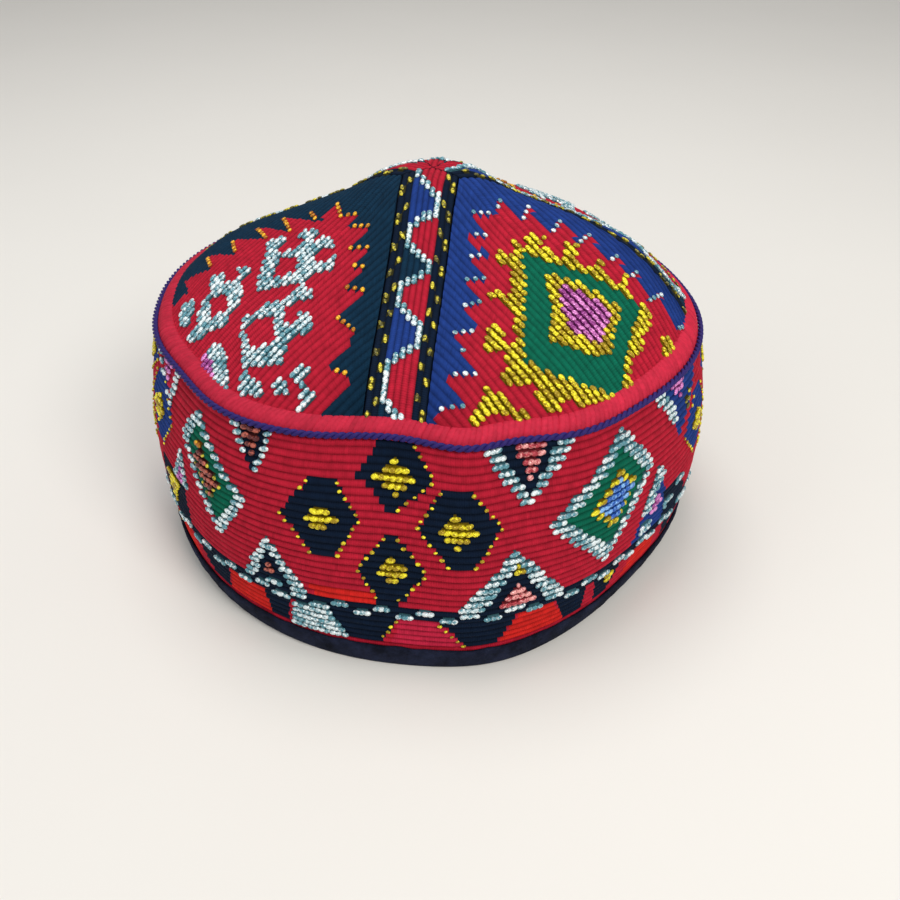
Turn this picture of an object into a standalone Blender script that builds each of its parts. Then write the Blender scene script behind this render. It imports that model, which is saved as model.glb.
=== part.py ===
"""Tubeteika skullcap, a stiff embroidered cap with an upright side band and a pointed crown.

The crown is four gores joined by four narrow strips that meet at the tip. An overcast
roll joins it to the band, a thin cord runs below the roll, and a cloth binding wraps the
band's lower edge, on which the cap stands. Metres, +Z up, the front faces -Y.
Azimuth is measured from the front towards +X.
"""

import math

import bmesh
import bpy
import numpy as np

# The band's outer face where it goes into the binding. The cap is longer than it is wide.
RIM_HALF_WIDTH = 0.0919
RIM_HALF_LENGTH = 0.0944
RIM_TURN = math.radians(2.3)

# The corner where the band meets the crown, a square with soft corners seen from above.
SEAM_HALF_WIDTH = 0.0894
SEAM_HALF_LENGTH = 0.0815
SEAM_TURN = math.radians(4.3)
SEAM_SQUARENESS = 2.4
SEAM_HEIGHT = 0.0721

BAND_BULGE = 0.0057
BAND_WALL = 0.0026

CROWN_RISE = 0.0444
CROWN_WALL = 0.0024
CROWN_LEAN = 0.0058
TIP_SIDE_SHIFT = 0.0022
TIP_BACK_SHIFT = 0.0039

STRIP_WIDTH_AT_SEAM = 0.0185
STRIP_WIDTH_AT_TIP = 0.0170

EDGE_ROLL_WIDTH = 0.0056
EDGE_ROLL_PROUD = 0.0012
SEAM_CORD_DIAMETER = 0.0014

BINDING_HEIGHT = 0.0072
BINDING_INNER_HEIGHT = 0.0056
BINDING_THICKNESS = 0.0012

# What two neighbouring pieces keep between them.
GAP = 0.0003

# Dents and swellings of the rim: azimuth and span in degrees, depth as a share of the radius.
RIM_DENTS = (
    # azimuth, span, depth
    (48, 20, 0.042),
    (12, 12, -0.019),
)

# The same of the seam. The front bows out where the crown's strip runs into the band.
SEAM_DENTS = (
    # azimuth, span, depth
    (8, 8, -0.060),
    (28, 13, -0.052),
    (-10, 9, 0.019),
    (-56, 14, 0.039),
    (-92, 22, -0.023),
    (92, 22, -0.023),
    (-128, 30, 0.017),
    (118, 30, 0.062),
)

# The crown from its tip to the seam: share of the radius, share of the rise.
CROWN_PROFILE = (
    # radius, height
    (0.0, 1.0),
    (0.1, 0.993),
    (0.33, 0.737),
    (0.58, 0.485),
    (0.82, 0.251),
    (1.0, 0.0),
)

# Where the crown is fuller than its profile, or sinks below it: azimuth and span in degrees, share
# of the rise that it adds at two thirds of the reach.
CROWN_SWELLS = (
    # azimuth, span, share
    (76, 22, 0.218),
    (-101, 30, 0.11),
    (-135, 30, -0.114),
    (130, 30, 0.048),
)

# The four strips: azimuth at the seam and sweep towards the back higher up, both in degrees.
# Each gore lies between two of them.
STRIPS = (
    # name, azimuth, sweep
    ("strip_front", -6, 0),
    ("strip_right", 79.5, 44),
    ("strip_back", 172, 0),
    ("strip_left", 246, -16),
)

# How much of its sweep a strip has at each reach.
SWEEP_SHARE = (
    # reach, share
    (0.0, 0.66),
    (0.25, 0.62),
    (0.5, 0.33),
    (0.75, 0.11),
    (1.0, 0.0),
)
GORES = ("gore_front_right", "gore_back_right", "gore_back_left", "gore_front_left")

AROUND = 90
BAND_ROWS = 5
GORE_COLUMNS = 16
GORE_ROWS = 11
STRIP_COLUMNS = 4
STRIP_ROWS = 14
ROLL_ARC_POINTS = 5

CRIMSON = (0.45, 0.012, 0.030)
VERMILION = (0.60, 0.030, 0.020)
NAVY = (0.018, 0.020, 0.095)
TEAL_BLACK = (0.008, 0.022, 0.035)
PURPLE = (0.045, 0.018, 0.110)
FELT_BLACK = (0.012, 0.013, 0.020)


def clear_scene():
    for obj in list(bpy.data.objects):
        bpy.data.objects.remove(obj, do_unlink=True)


def cloth(name, colour, roughness=0.85):
    """A plain textile finish."""
    material = bpy.data.materials.new(name)
    material.use_nodes = True
    shader = material.node_tree.nodes["Principled BSDF"]
    shader.inputs["Base Color"].default_value = (*colour, 1.0)
    shader.inputs["Roughness"].default_value = roughness
    shader.inputs["Metallic"].default_value = 0.0
    return material


def dent_factor(azimuth, dents):
    factor = np.ones_like(azimuth)
    for centre, span, depth in dents:
        away = (np.degrees(azimuth) - centre + 180) % 360 - 180
        factor -= depth * np.exp(-((away / span) ** 2))
    return factor


def plan_radius(azimuth, half_width, half_length, squareness, turn, dents):
    """The radius of a superellipse, turned and dented, at each azimuth."""
    across = np.abs(np.sin(azimuth - turn) / half_width) ** squareness
    along = np.abs(np.cos(azimuth - turn) / half_length) ** squareness
    return (across + along) ** (-1 / squareness) * dent_factor(azimuth, dents)


def rim_radius(azimuth):
    return plan_radius(azimuth, RIM_HALF_WIDTH, RIM_HALF_LENGTH, 2.0, RIM_TURN, RIM_DENTS)


def seam_radius(azimuth):
    return plan_radius(
        azimuth, SEAM_HALF_WIDTH, SEAM_HALF_LENGTH, SEAM_SQUARENESS, SEAM_TURN, SEAM_DENTS
    )


def smooth_table(table, at):
    """A smooth curve through a table of (position, value), level at its first row."""
    position, value = np.array(table, dtype=float).T
    slope = np.gradient(value, position)
    slope[0] = 0.0
    k = np.clip(np.searchsorted(position, at, side="right") - 1, 0, len(position) - 2)
    step = position[k + 1] - position[k]
    s = (at - position[k]) / step
    return (
        value[k] * (1 + 2 * s) * (1 - s) ** 2
        + value[k + 1] * s * s * (3 - 2 * s)
        + slope[k] * step * s * (1 - s) ** 2
        - slope[k + 1] * step * s * s * (1 - s)
    )


def band_points(azimuth, height, outward=0.0):
    """Points of the band's outer face at a height, moved outward by a length."""
    azimuth = np.asarray(azimuth, dtype=float)
    share = height / SEAM_HEIGHT
    radius = rim_radius(azimuth) * (1 - share) + seam_radius(azimuth) * share
    radius = radius + BAND_BULGE * 4 * share * (1 - share) + outward
    x = radius * np.sin(azimuth)
    y = CROWN_LEAN * share - radius * np.cos(azimuth)
    return np.stack([x, y, np.full_like(x, height)], axis=-1)


def crown_points(azimuth, reach):
    """Points of the crown's outer face. Reach is 0 at the tip and 1 at the seam."""
    azimuth, reach = np.broadcast_arrays(np.asarray(azimuth, float), np.asarray(reach, float))
    radius = seam_radius(azimuth) * reach
    x = radius * np.sin(azimuth) + TIP_SIDE_SHIFT * (1 - reach)
    y = CROWN_LEAN + TIP_BACK_SHIFT * (1 - reach) - radius * np.cos(azimuth)
    z = SEAM_HEIGHT + CROWN_RISE * smooth_table(CROWN_PROFILE, reach)
    for centre, span, share in CROWN_SWELLS:
        away = (np.degrees(azimuth) - centre + 180) % 360 - 180
        z = z + CROWN_RISE * share * 6.75 * reach**2 * (1 - reach) * np.exp(-((away / span) ** 2))
    return np.stack([x, y, z], axis=-1)


def crown_normal(azimuth, reach):
    """Unit vectors that point up and outward, square to the crown as it would be undented."""
    azimuth, reach = np.broadcast_arrays(np.asarray(azimuth, float), np.asarray(reach, float))
    step = 0.02
    inside, outside = np.clip(reach - step, 0, 1), np.clip(reach + step, 0, 1)
    fall = smooth_table(CROWN_PROFILE, inside) - smooth_table(CROWN_PROFILE, outside)
    lean = CROWN_RISE * fall / (outside - inside) / mean_crown_radius()
    normal = np.stack([lean * np.sin(azimuth), -lean * np.cos(azimuth), np.ones_like(lean)], axis=-1)
    return normal / np.linalg.norm(normal, axis=-1, keepdims=True)


def crown_edge_reach():
    """The reach at which the gores and strips stop, which leaves the roll its width."""
    outer, height = CROWN_PROFILE[-1], CROWN_PROFILE[-2]
    share = outer[0] - height[0]
    run = mean_crown_radius() * share
    fall = CROWN_RISE * height[1]
    return 1 - EDGE_ROLL_WIDTH * share / math.hypot(run, fall)


def mean_crown_radius():
    return (SEAM_HALF_WIDTH + SEAM_HALF_LENGTH) / 2


def around():
    return np.linspace(-math.pi, math.pi, AROUND, endpoint=False)


def add_mesh(name, points, faces, material):
    mesh = bpy.data.meshes.new(name)
    mesh.from_pydata([tuple(p) for p in points], [], faces)
    mesh.validate()
    mesh.materials.append(material)
    mesh.shade_smooth()
    mesh.set_sharp_from_angle(angle=math.radians(40))
    obj = bpy.data.objects.new(name, mesh)
    collection().objects.link(obj)
    return obj


def collection():
    name = "tubeteika_skullcap"
    if name not in bpy.data.collections:
        bpy.context.scene.collection.children.link(bpy.data.collections.new(name))
    return bpy.data.collections[name]


def add_ring(name, section, material):
    """A closed ring lofted through sections: section[i][j] is point i of the outline at azimuth j.

    The outline and the azimuths both close on themselves.
    """
    outline = np.array(section)
    count, steps = outline.shape[:2]
    points = outline.reshape(-1, 3)
    faces = []
    for i in range(count):
        for j in range(steps):
            i_next, j_next = (i + 1) % count, (j + 1) % steps
            corners = (i * steps + j, i * steps + j_next, i_next * steps + j_next, i_next * steps + j)
            faces.append(corners)
    obj = add_mesh(name, points, faces, material)
    close_up(obj.data)
    return obj


def close_up(mesh):
    """Merges the points that coincide and turns every face outward."""
    work = bmesh.new()
    work.from_mesh(mesh)
    bmesh.ops.remove_doubles(work, verts=work.verts, dist=1e-6)
    bmesh.ops.recalc_face_normals(work, faces=work.faces)
    work.to_mesh(mesh)
    work.free()


def add_shell(name, azimuth, reach, material):
    """A wall of the crown. Both grids give [row][column], rows from the tip outwards."""
    outer = crown_points(azimuth, reach)
    inner = outer - crown_normal(azimuth, reach) * CROWN_WALL
    rows, columns = outer.shape[:2]
    under = rows * columns
    faces = []
    for i in range(rows - 1):
        for j in range(columns - 1):
            a = i * columns + j
            quad = (a, a + columns, a + columns + 1, a + 1)
            faces += [quad, tuple(under + corner for corner in reversed(quad))]
    down_one_side = [i * columns for i in range(rows)]
    along_the_edge = [(rows - 1) * columns + j for j in range(1, columns)]
    up_the_other = [i * columns + columns - 1 for i in range(rows - 2, -1, -1)]
    back_along_the_tip = list(range(columns - 2, 0, -1))
    border = down_one_side + along_the_edge + up_the_other + back_along_the_tip
    for a, b in zip(border, border[1:] + border[:1]):
        faces.append((a, b, b + under, a + under))
    points = np.concatenate([outer.reshape(-1, 3), inner.reshape(-1, 3)])
    obj = add_mesh(name, points, faces, material)
    close_up(obj.data)
    return obj


def side_band(material):
    """The upright wall, from inside the binding up to the roll."""
    azimuth = around()
    low, high = BINDING_THICKNESS + GAP, SEAM_HEIGHT - GAP
    heights = np.linspace(low, high, BAND_ROWS + 1)
    outer = [band_points(azimuth, z) for z in heights]
    inner = [band_points(azimuth, z, -BAND_WALL) for z in heights[::-1]]
    add_ring("side_band", outer + inner, material)


def rim_binding(material):
    """A strip of cloth folded round the band's lower edge, flat where the cap stands on it."""
    azimuth = around()
    near, far = GAP, GAP + BINDING_THICKNESS
    inner_near, inner_far = -BAND_WALL - near, -BAND_WALL - far
    section = (
        # height, outward
        (0.0, far),
        (BINDING_HEIGHT / 2, far),
        (BINDING_HEIGHT, far),
        (BINDING_HEIGHT, near),
        (BINDING_THICKNESS, near),
        (BINDING_THICKNESS, inner_near),
        (BINDING_INNER_HEIGHT, inner_near),
        (BINDING_INNER_HEIGHT, inner_far),
        (0.0, inner_far),
    )
    add_ring("rim_binding", [band_points(azimuth, z, out) for z, out in section], material)


def edge_roll(material):
    """The overcast roll that joins the band's top edge and the crown's edge."""
    azimuth = around()
    edge = crown_edge_reach() + GAP / mean_crown_radius()
    bottom = band_points(azimuth, SEAM_HEIGHT)
    top = crown_points(azimuth, edge)
    normal = crown_normal(azimuth, edge)
    section = [band_points(azimuth, SEAM_HEIGHT, -BAND_WALL), bottom]
    for share in np.linspace(0, 1, ROLL_ARC_POINTS + 2)[1:-1]:
        swell = EDGE_ROLL_PROUD * 4 * share * (1 - share)
        section.append(bottom * (1 - share) + top * share + normal * swell)
    section += [top, top - normal * CROWN_WALL]
    add_ring("edge_roll", section, material)


def seam_cord(material):
    """The thin cord laid in the crease below the roll."""
    radius = SEAM_CORD_DIAMETER / 2
    centre = band_points(around(), SEAM_HEIGHT, radius + GAP)
    curve = bpy.data.curves.new("seam_cord", "CURVE")
    curve.dimensions = "3D"
    curve.bevel_depth = radius
    curve.bevel_resolution = 2
    spline = curve.splines.new("POLY")
    spline.points.add(len(centre) - 1)
    for point, place in zip(spline.points, centre):
        point.co = (*place, 1.0)
    spline.use_cyclic_u = True
    curve.materials.append(material)
    collection().objects.link(bpy.data.objects.new("seam_cord", curve))


def strip_azimuth(k, reach):
    _, azimuth, sweep = STRIPS[k % len(STRIPS)]
    return np.radians(azimuth + sweep * smooth_table(SWEEP_SHARE, reach))


def half_angle(k, reach):
    """Half the angle between strip k and the next one round."""
    return ((strip_azimuth(k + 1, reach) - strip_azimuth(k, reach)) % math.tau) / 2


def strip_half_width(k, reach):
    """Half of strip k's width, measured round the crown, so it is more where the strip slants."""
    step = 0.01
    turn = (strip_azimuth(k, reach + step) - strip_azimuth(k, reach - step)) / (2 * step)
    slant = np.arctan(reach * turn)
    return (STRIP_WIDTH_AT_TIP * (1 - reach) + STRIP_WIDTH_AT_SEAM * reach) / 2 / np.cos(slant)


def azimuth_off_strip(k, sideways, reach):
    """The azimuth of a point that lies sideways of strip k's middle line."""
    return strip_azimuth(k, reach) + np.arcsin(sideways / (mean_crown_radius() * reach))


def mitre_reach(k, column):
    """Where a column of strip k starts, half a gap off the mitre with the strip beside it."""
    beside = k if column > 0 else k - 1
    reach = 0.1
    for _ in range(40):
        angle = half_angle(beside, reach)
        sideways = abs(column) * (strip_half_width(k, reach) - GAP / 2)
        ahead = (GAP / 2 + sideways * math.cos(angle)) / math.sin(angle)
        reach = math.hypot(ahead, sideways) / mean_crown_radius()
    return reach


def crown_strip(k, material):
    """Strip k, whose inner end is mitred against the two strips beside it."""
    edge = crown_edge_reach()
    columns = np.linspace(-1, 1, STRIP_COLUMNS + 1)
    start = np.array([mitre_reach(k, column) for column in columns])
    row = np.linspace(0, 1, STRIP_ROWS + 1)[:, None]
    reach = start + (edge - start) * row
    sideways = columns * (strip_half_width(k, reach) - GAP / 2)
    add_shell(STRIPS[k][0], azimuth_off_strip(k, sideways, reach), reach, material)


def gore_corner_reach(k):
    """Where the edges of strips k and k + 1 cross, which is the gore's inner corner."""
    reach = 0.15
    for _ in range(40):
        turns = 0.0
        for strip in (k, k + 1):
            sideways = strip_half_width(strip, reach) + GAP / 2
            turns += sideways / mean_crown_radius() / math.sin(half_angle(k, reach))
        reach = 0.5 * reach + 0.5 * turns / 2
    return reach


def crown_gore(k, material):
    """The gore between strip k and the next one round."""
    corner, edge = gore_corner_reach(k), crown_edge_reach()
    row = np.linspace(0, 1, GORE_ROWS + 1)[:, None]
    reach = corner + (edge - corner) * row
    first = azimuth_off_strip(k, strip_half_width(k, reach) + GAP / 2, reach)
    last = azimuth_off_strip(k + 1, -strip_half_width(k + 1, reach) - GAP / 2, reach)
    width = np.where(row > 0, (last - first) % math.tau, 0.0)
    azimuth = first + width * np.linspace(0, 1, GORE_COLUMNS + 1)
    add_shell(GORES[k], azimuth, reach, material)


def evaluated_points(obj, graph):
    evaluated = obj.evaluated_get(graph)
    mesh = evaluated.to_mesh()
    points = np.empty(len(mesh.vertices) * 3)
    mesh.vertices.foreach_get("co", points)
    evaluated.to_mesh_clear()
    return points.reshape(-1, 3)


def centre_on_origin():
    """Moves every piece so that the whole cap's plan is centred on the origin."""
    graph = bpy.context.evaluated_depsgraph_get()
    pieces = collection().objects
    points = np.concatenate([evaluated_points(obj, graph) for obj in pieces])
    middle = (points.min(axis=0) + points.max(axis=0)) / 2
    for obj in pieces:
        obj.location = (-middle[0], -middle[1], 0.0)


def build_cap():
    crimson = cloth("crimson_embroidery", CRIMSON)
    teal = cloth("dark_teal_embroidery", TEAL_BLACK)
    navy = cloth("navy_embroidery", NAVY)
    side_band(crimson)
    rim_binding(cloth("black_cloth_binding", FELT_BLACK, 0.95))
    edge_roll(cloth("vermilion_overcasting", VERMILION))
    seam_cord(cloth("purple_cord", PURPLE))
    for k in range(len(STRIPS)):
        crown_strip(k, navy)
        crown_gore(k, navy if k % 2 == 0 else teal)
    centre_on_origin()


clear_scene()
build_cap()
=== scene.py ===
"""Looks for the tubeteika skullcap: silk ribs, metal thread, overcast roll, cord and binding.

Run as a script in Blender 4.5. Metres, +Z up, the front faces -Y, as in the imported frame.
Azimuth is measured from the front towards +X, in degrees in the tables.
"""

import math

import bpy
import numpy as np
from mathutils import Matrix, Vector


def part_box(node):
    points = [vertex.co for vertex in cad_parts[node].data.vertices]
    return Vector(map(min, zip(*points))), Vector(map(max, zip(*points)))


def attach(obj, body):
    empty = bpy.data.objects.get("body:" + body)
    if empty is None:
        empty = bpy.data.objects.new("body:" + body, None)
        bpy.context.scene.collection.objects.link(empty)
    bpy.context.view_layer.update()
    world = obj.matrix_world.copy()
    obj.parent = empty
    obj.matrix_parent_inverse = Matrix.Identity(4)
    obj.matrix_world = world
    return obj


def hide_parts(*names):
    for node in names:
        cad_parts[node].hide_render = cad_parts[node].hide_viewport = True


bl_info = {
    "name": "Tubeteika skullcap",
    "version": (1, 0, 0),
    "blender": (4, 5, 0),
    "location": "3D View > Sidebar > Skullcap",
    "description": "Dresses the packed skullcap with ribbed silk, metal thread and trims",
    "category": "Object",
}

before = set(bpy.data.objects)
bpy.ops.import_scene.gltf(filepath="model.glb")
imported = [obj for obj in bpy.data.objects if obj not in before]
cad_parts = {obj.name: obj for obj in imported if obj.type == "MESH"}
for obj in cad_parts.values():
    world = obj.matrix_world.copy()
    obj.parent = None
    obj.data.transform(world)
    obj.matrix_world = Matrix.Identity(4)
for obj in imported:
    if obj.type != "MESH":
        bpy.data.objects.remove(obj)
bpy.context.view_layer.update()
MM = 0.001
# Rounds of each of the small solvers below.
ROUNDS = 40

# ---------------------------------------------------------------- the cap's form, as in its CAD

RIM_HALF_WIDTH = 0.0919
RIM_HALF_LENGTH = 0.0944
RIM_TURN = math.radians(2.3)
SEAM_HALF_WIDTH = 0.0894
SEAM_HALF_LENGTH = 0.0815
SEAM_TURN = math.radians(4.3)
SEAM_SQUARENESS = 2.4
SEAM_HEIGHT = 0.0721
BAND_BULGE = 0.0057
BAND_WALL = 0.0026
CROWN_RISE = 0.0444
CROWN_WALL = 0.0024
CROWN_LEAN = 0.0058
TIP_SIDE_SHIFT = 0.0022
TIP_BACK_SHIFT = 0.0039
STRIP_WIDTH_AT_SEAM = 0.0185
STRIP_WIDTH_AT_TIP = 0.0170
EDGE_ROLL_WIDTH = 0.0056
EDGE_ROLL_PROUD = 0.0012
BINDING_HEIGHT = 0.0072
BINDING_INNER_HEIGHT = 0.0056
BINDING_THICKNESS = 0.0012
GAP = 0.0003

# azimuth, span, depth as a share of the radius
RIM_DENTS = ((48, 20, 0.042), (12, 12, -0.019))
SEAM_DENTS = (
    (8, 8, -0.060),
    (28, 13, -0.052),
    (-10, 9, 0.019),
    (-56, 14, 0.039),
    (-92, 22, -0.023),
    (92, 22, -0.023),
    (-128, 30, 0.017),
    (118, 30, 0.062),
)
# share of the radius, share of the rise
CROWN_PROFILE = ((0.0, 1.0), (0.1, 0.993), (0.33, 0.737), (0.58, 0.485), (0.82, 0.251), (1.0, 0.0))
# azimuth, span, share of the rise
CROWN_SWELLS = ((76, 22, 0.218), (-101, 30, 0.11), (-135, 30, -0.114), (130, 30, 0.048))
# name, azimuth at the seam, sweep towards the back
STRIPS = (
    ("strip_front", -6, 0),
    ("strip_right", 79.5, 44),
    ("strip_back", 172, 0),
    ("strip_left", 246, -16),
)
# reach, share of the sweep
SWEEP_SHARE = ((0.0, 0.66), (0.25, 0.62), (0.5, 0.33), (0.75, 0.11), (1.0, 0.0))
# The gore after each strip: name, slot, azimuth its ribs run along, width of its chart, chart
GORES = (
    ("gore_front_right", "navy_embroidery", 43.5, 1.0, "diamond"),
    ("gore_back_right", "dark_teal_embroidery", 133.0, 0.78, "hooks"),
    ("gore_back_left", "navy_embroidery", 206.0, 0.76, "diamond"),
    ("gore_front_left", "dark_teal_embroidery", -50.0, 1.0, "hooks"),
)


def smooth_table(table, at):
    """A smooth curve through a table of (position, value), level at its first row."""
    position, value = np.array(table, dtype=float).T
    slope = np.gradient(value, position)
    slope[0] = 0.0
    k = np.clip(np.searchsorted(position, at, side="right") - 1, 0, len(position) - 2)
    step = position[k + 1] - position[k]
    s = (at - position[k]) / step
    return (
        value[k] * (1 + 2 * s) * (1 - s) ** 2
        + value[k + 1] * s * s * (3 - 2 * s)
        + slope[k] * step * s * (1 - s) ** 2
        - slope[k + 1] * step * s * s * (1 - s)
    )


def bell(azimuth, centre, span):
    away = (np.degrees(azimuth) - centre + 180) % 360 - 180
    return np.exp(-((away / span) ** 2))


def plan_radius(azimuth, half_width, half_length, squareness, turn, dents):
    across = np.abs(np.sin(azimuth - turn) / half_width) ** squareness
    along = np.abs(np.cos(azimuth - turn) / half_length) ** squareness
    radius = (across + along) ** (-1 / squareness)
    return radius * (1 - sum(depth * bell(azimuth, mid, span) for mid, span, depth in dents))


def rim_radius(azimuth):
    return plan_radius(azimuth, RIM_HALF_WIDTH, RIM_HALF_LENGTH, 2.0, RIM_TURN, RIM_DENTS)


def seam_radius(azimuth):
    return plan_radius(
        azimuth, SEAM_HALF_WIDTH, SEAM_HALF_LENGTH, SEAM_SQUARENESS, SEAM_TURN, SEAM_DENTS
    )


def band_points(azimuth, height):
    """Points of the band's outer face at a height."""
    azimuth, height = np.broadcast_arrays(np.asarray(azimuth, float), np.asarray(height, float))
    share = height / SEAM_HEIGHT
    radius = rim_radius(azimuth) * (1 - share) + seam_radius(azimuth) * share
    radius = radius + BAND_BULGE * 4 * share * (1 - share)
    y = CROWN_LEAN * share - radius * np.cos(azimuth)
    return np.stack([radius * np.sin(azimuth), y, height], axis=-1)


def crown_points(azimuth, reach):
    """Points of the crown's outer face. Reach is 0 at the tip and 1 at the seam."""
    azimuth, reach = np.broadcast_arrays(np.asarray(azimuth, float), np.asarray(reach, float))
    radius = seam_radius(azimuth) * reach
    x = radius * np.sin(azimuth) + TIP_SIDE_SHIFT * (1 - reach)
    y = CROWN_LEAN + TIP_BACK_SHIFT * (1 - reach) - radius * np.cos(azimuth)
    z = SEAM_HEIGHT + CROWN_RISE * smooth_table(CROWN_PROFILE, reach)
    for centre, span, share in CROWN_SWELLS:
        z = z + CROWN_RISE * share * 6.75 * reach**2 * (1 - reach) * bell(azimuth, centre, span)
    return np.stack([x, y, z], axis=-1)


def facing_out(surface, azimuth, other, step):
    """Unit normals of a surface of (azimuth, other), pointing up and away from the middle."""
    around = surface(azimuth + 0.002, other) - surface(azimuth - 0.002, other)
    down = surface(azimuth, other + step) - surface(azimuth, other - step)
    normal = np.cross(around, down)
    out = np.stack([np.sin(azimuth), -np.cos(azimuth), np.full_like(azimuth, 0.6)], axis=-1)
    normal *= np.sign((normal * out).sum(axis=-1, keepdims=True))
    return normal / np.maximum(np.linalg.norm(normal, axis=-1, keepdims=True), 1e-12)


def band_facing(azimuth, height):
    return facing_out(band_points, azimuth, height, 0.001)


def crown_facing(azimuth, reach):
    return facing_out(crown_points, azimuth, reach, 0.01)


def mean_crown_radius():
    return (SEAM_HALF_WIDTH + SEAM_HALF_LENGTH) / 2


def crown_edge_reach():
    """The reach at which the gores and strips meet the roll."""
    outer, height = CROWN_PROFILE[-1], CROWN_PROFILE[-2]
    share = outer[0] - height[0]
    run = mean_crown_radius() * share
    fall = CROWN_RISE * height[1]
    return 1 - EDGE_ROLL_WIDTH * share / math.hypot(run, fall)


def strip_azimuth(k, reach):
    _, azimuth, sweep = STRIPS[k % len(STRIPS)]
    return np.radians(azimuth + sweep * smooth_table(SWEEP_SHARE, reach))


def half_angle(k, reach):
    """Half the angle between strip k and the next one round."""
    return ((strip_azimuth(k + 1, reach) - strip_azimuth(k, reach)) % math.tau) / 2


def strip_half_width(k, reach):
    """Half of strip k's width, measured round the crown, so it is more where the strip slants."""
    step = 0.01
    turn = (strip_azimuth(k, reach + step) - strip_azimuth(k, reach - step)) / (2 * step)
    slant = np.arctan(reach * turn)
    return (STRIP_WIDTH_AT_TIP * (1 - reach) + STRIP_WIDTH_AT_SEAM * reach) / 2 / np.cos(slant)


def azimuth_off_strip(k, sideways, reach):
    """The azimuth of a point that lies sideways of strip k's middle line."""
    return strip_azimuth(k, reach) + np.arcsin(sideways / (mean_crown_radius() * reach))


def mitre_reach(k, column):
    """Where a line of strip k starts, half a gap off the mitre with the strip beside it."""
    beside = k if column > 0 else k - 1
    reach = 0.1
    for _ in range(ROUNDS):
        angle = half_angle(beside, reach)
        sideways = abs(column) * (strip_half_width(k, reach) - GAP / 2)
        ahead = (GAP / 2 + sideways * math.cos(angle)) / math.sin(angle)
        reach = math.hypot(ahead, sideways) / mean_crown_radius()
    return reach


def gore_corner_reach(k):
    """Where the edges of strips k and k + 1 cross, which is the gore's inner corner."""
    reach = 0.15
    for _ in range(ROUNDS):
        turns = 0.0
        for strip in (k, k + 1):
            sideways = strip_half_width(strip, reach) + GAP / 2
            turns += sideways / mean_crown_radius() / math.sin(half_angle(k, reach))
        reach = 0.5 * reach + 0.5 * turns / 2
    return reach


def crown_place(x, y):
    """The azimuth and reach of a point of the crown's plan."""
    reach = np.full(np.shape(x), 0.5)
    for _ in range(ROUNDS):
        right = x - TIP_SIDE_SHIFT * (1 - reach)
        back = y - CROWN_LEAN - TIP_BACK_SHIFT * (1 - reach)
        azimuth = np.arctan2(right, -back)
        reach = 0.5 * reach + 0.5 * np.hypot(right, back) / seam_radius(azimuth)
    return azimuth, reach


def gore_plan(middle, across, along):
    """Plan points of a gore's chart, whose lengths are measured from the tip."""
    m = math.radians(middle)
    x = TIP_SIDE_SHIFT + math.sin(m) * along + math.cos(m) * across
    y = CROWN_LEAN + TIP_BACK_SHIFT - math.cos(m) * along + math.sin(m) * across
    return x, y


def gore_chart_place(middle, points):
    """The chart's across and along of crown points."""
    m = math.radians(middle)
    x = points[..., 0] - TIP_SIDE_SHIFT
    y = points[..., 1] - CROWN_LEAN - TIP_BACK_SHIFT
    return math.cos(m) * x + math.sin(m) * y, math.sin(m) * x - math.cos(m) * y

# ---------------------------------------------------------------- charts

# The band's charts give degrees round the cap and millimetres below the cord. Later shapes
# lie over earlier ones. The band has four clusters of diamonds, and this one is in degrees
# off its middle.
CLUSTER = (
    # the diamonds' black ground, then their gold
    ("navy_black", ((-2.3, 0), (3.8, 0), (8.2, 9.2), (0.2, 19.9), (-6.7, 9.4))),
    ("navy_black", (
        (-15.4, 11.6), (-10.3, 11.6), (-5.8, 22.2), (-9.7, 33), (-14.5, 33), (-20.2, 22.4),
    )),
    ("navy_black", (
        (9, 11.6), (14.5, 11.6), (19.5, 22.2), (14.2, 34.1), (10.4, 34.1), (4.8, 22.7),
    )),
    ("navy_black", ((-1, 25.9), (1.2, 25.9), (6.4, 36.4), (0.9, 49), (-2, 49), (-6.2, 36.4))),
    ("gold", ((0.5, 4.8), (4.6, 9.6), (0.5, 14.5), (-3.6, 9.6))),
    ("gold", ((-13, 17.9), (-9.6, 22.2), (-13, 26.4), (-16.3, 22.2))),
    ("gold", ((11.8, 17), (15.3, 22.2), (11.8, 27.3), (8.2, 22.2))),
    ("gold", ((0.1, 31.8), (3.3, 36.4), (0.1, 40.9), (-3.1, 36.4))),
    # below the dashes
    ("navy_black", ((-11.8, 52.3), (1.7, 52.3), (-2, 63), (-8.2, 63))),
    ("rose_crimson", ((2, 52.3), (7.8, 52.3), (12.9, 63), (-0.5, 63))),
)

# Single gold stitches along the edges of the cluster's diamonds, from and to.
CLUSTER_BEADS = (
    ((3.8, 0), (8.2, 9.2)),
    ((8.2, 9.2), (0.4, 19.5)),
    ((-10.3, 11.6), (-5.8, 22.2)),
    ((-5.8, 22.2), (-9.7, 33)),
    ((-20.2, 22.4), (-14.5, 33)),
    ((-15.6, 11.6), (-17.4, 16)),
    ((9, 11.6), (4.8, 22.7)),
    ((14.5, 11.6), (19.5, 22.2)),
    ((19.5, 22.2), (14.2, 34.1)),
    ((4.8, 22.7), (10.4, 34.1)),
    ((1.2, 25.9), (6.4, 36.4)),
    ((6.4, 36.4), (0.9, 47)),
    ((-1, 25.9), (-6.2, 36.4)),
    ((-6.2, 36.4), (-2, 47)),
    ((1.7, 52.3), (-2, 61)),
    ((7.8, 52.3), (12.9, 63)),
)

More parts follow.
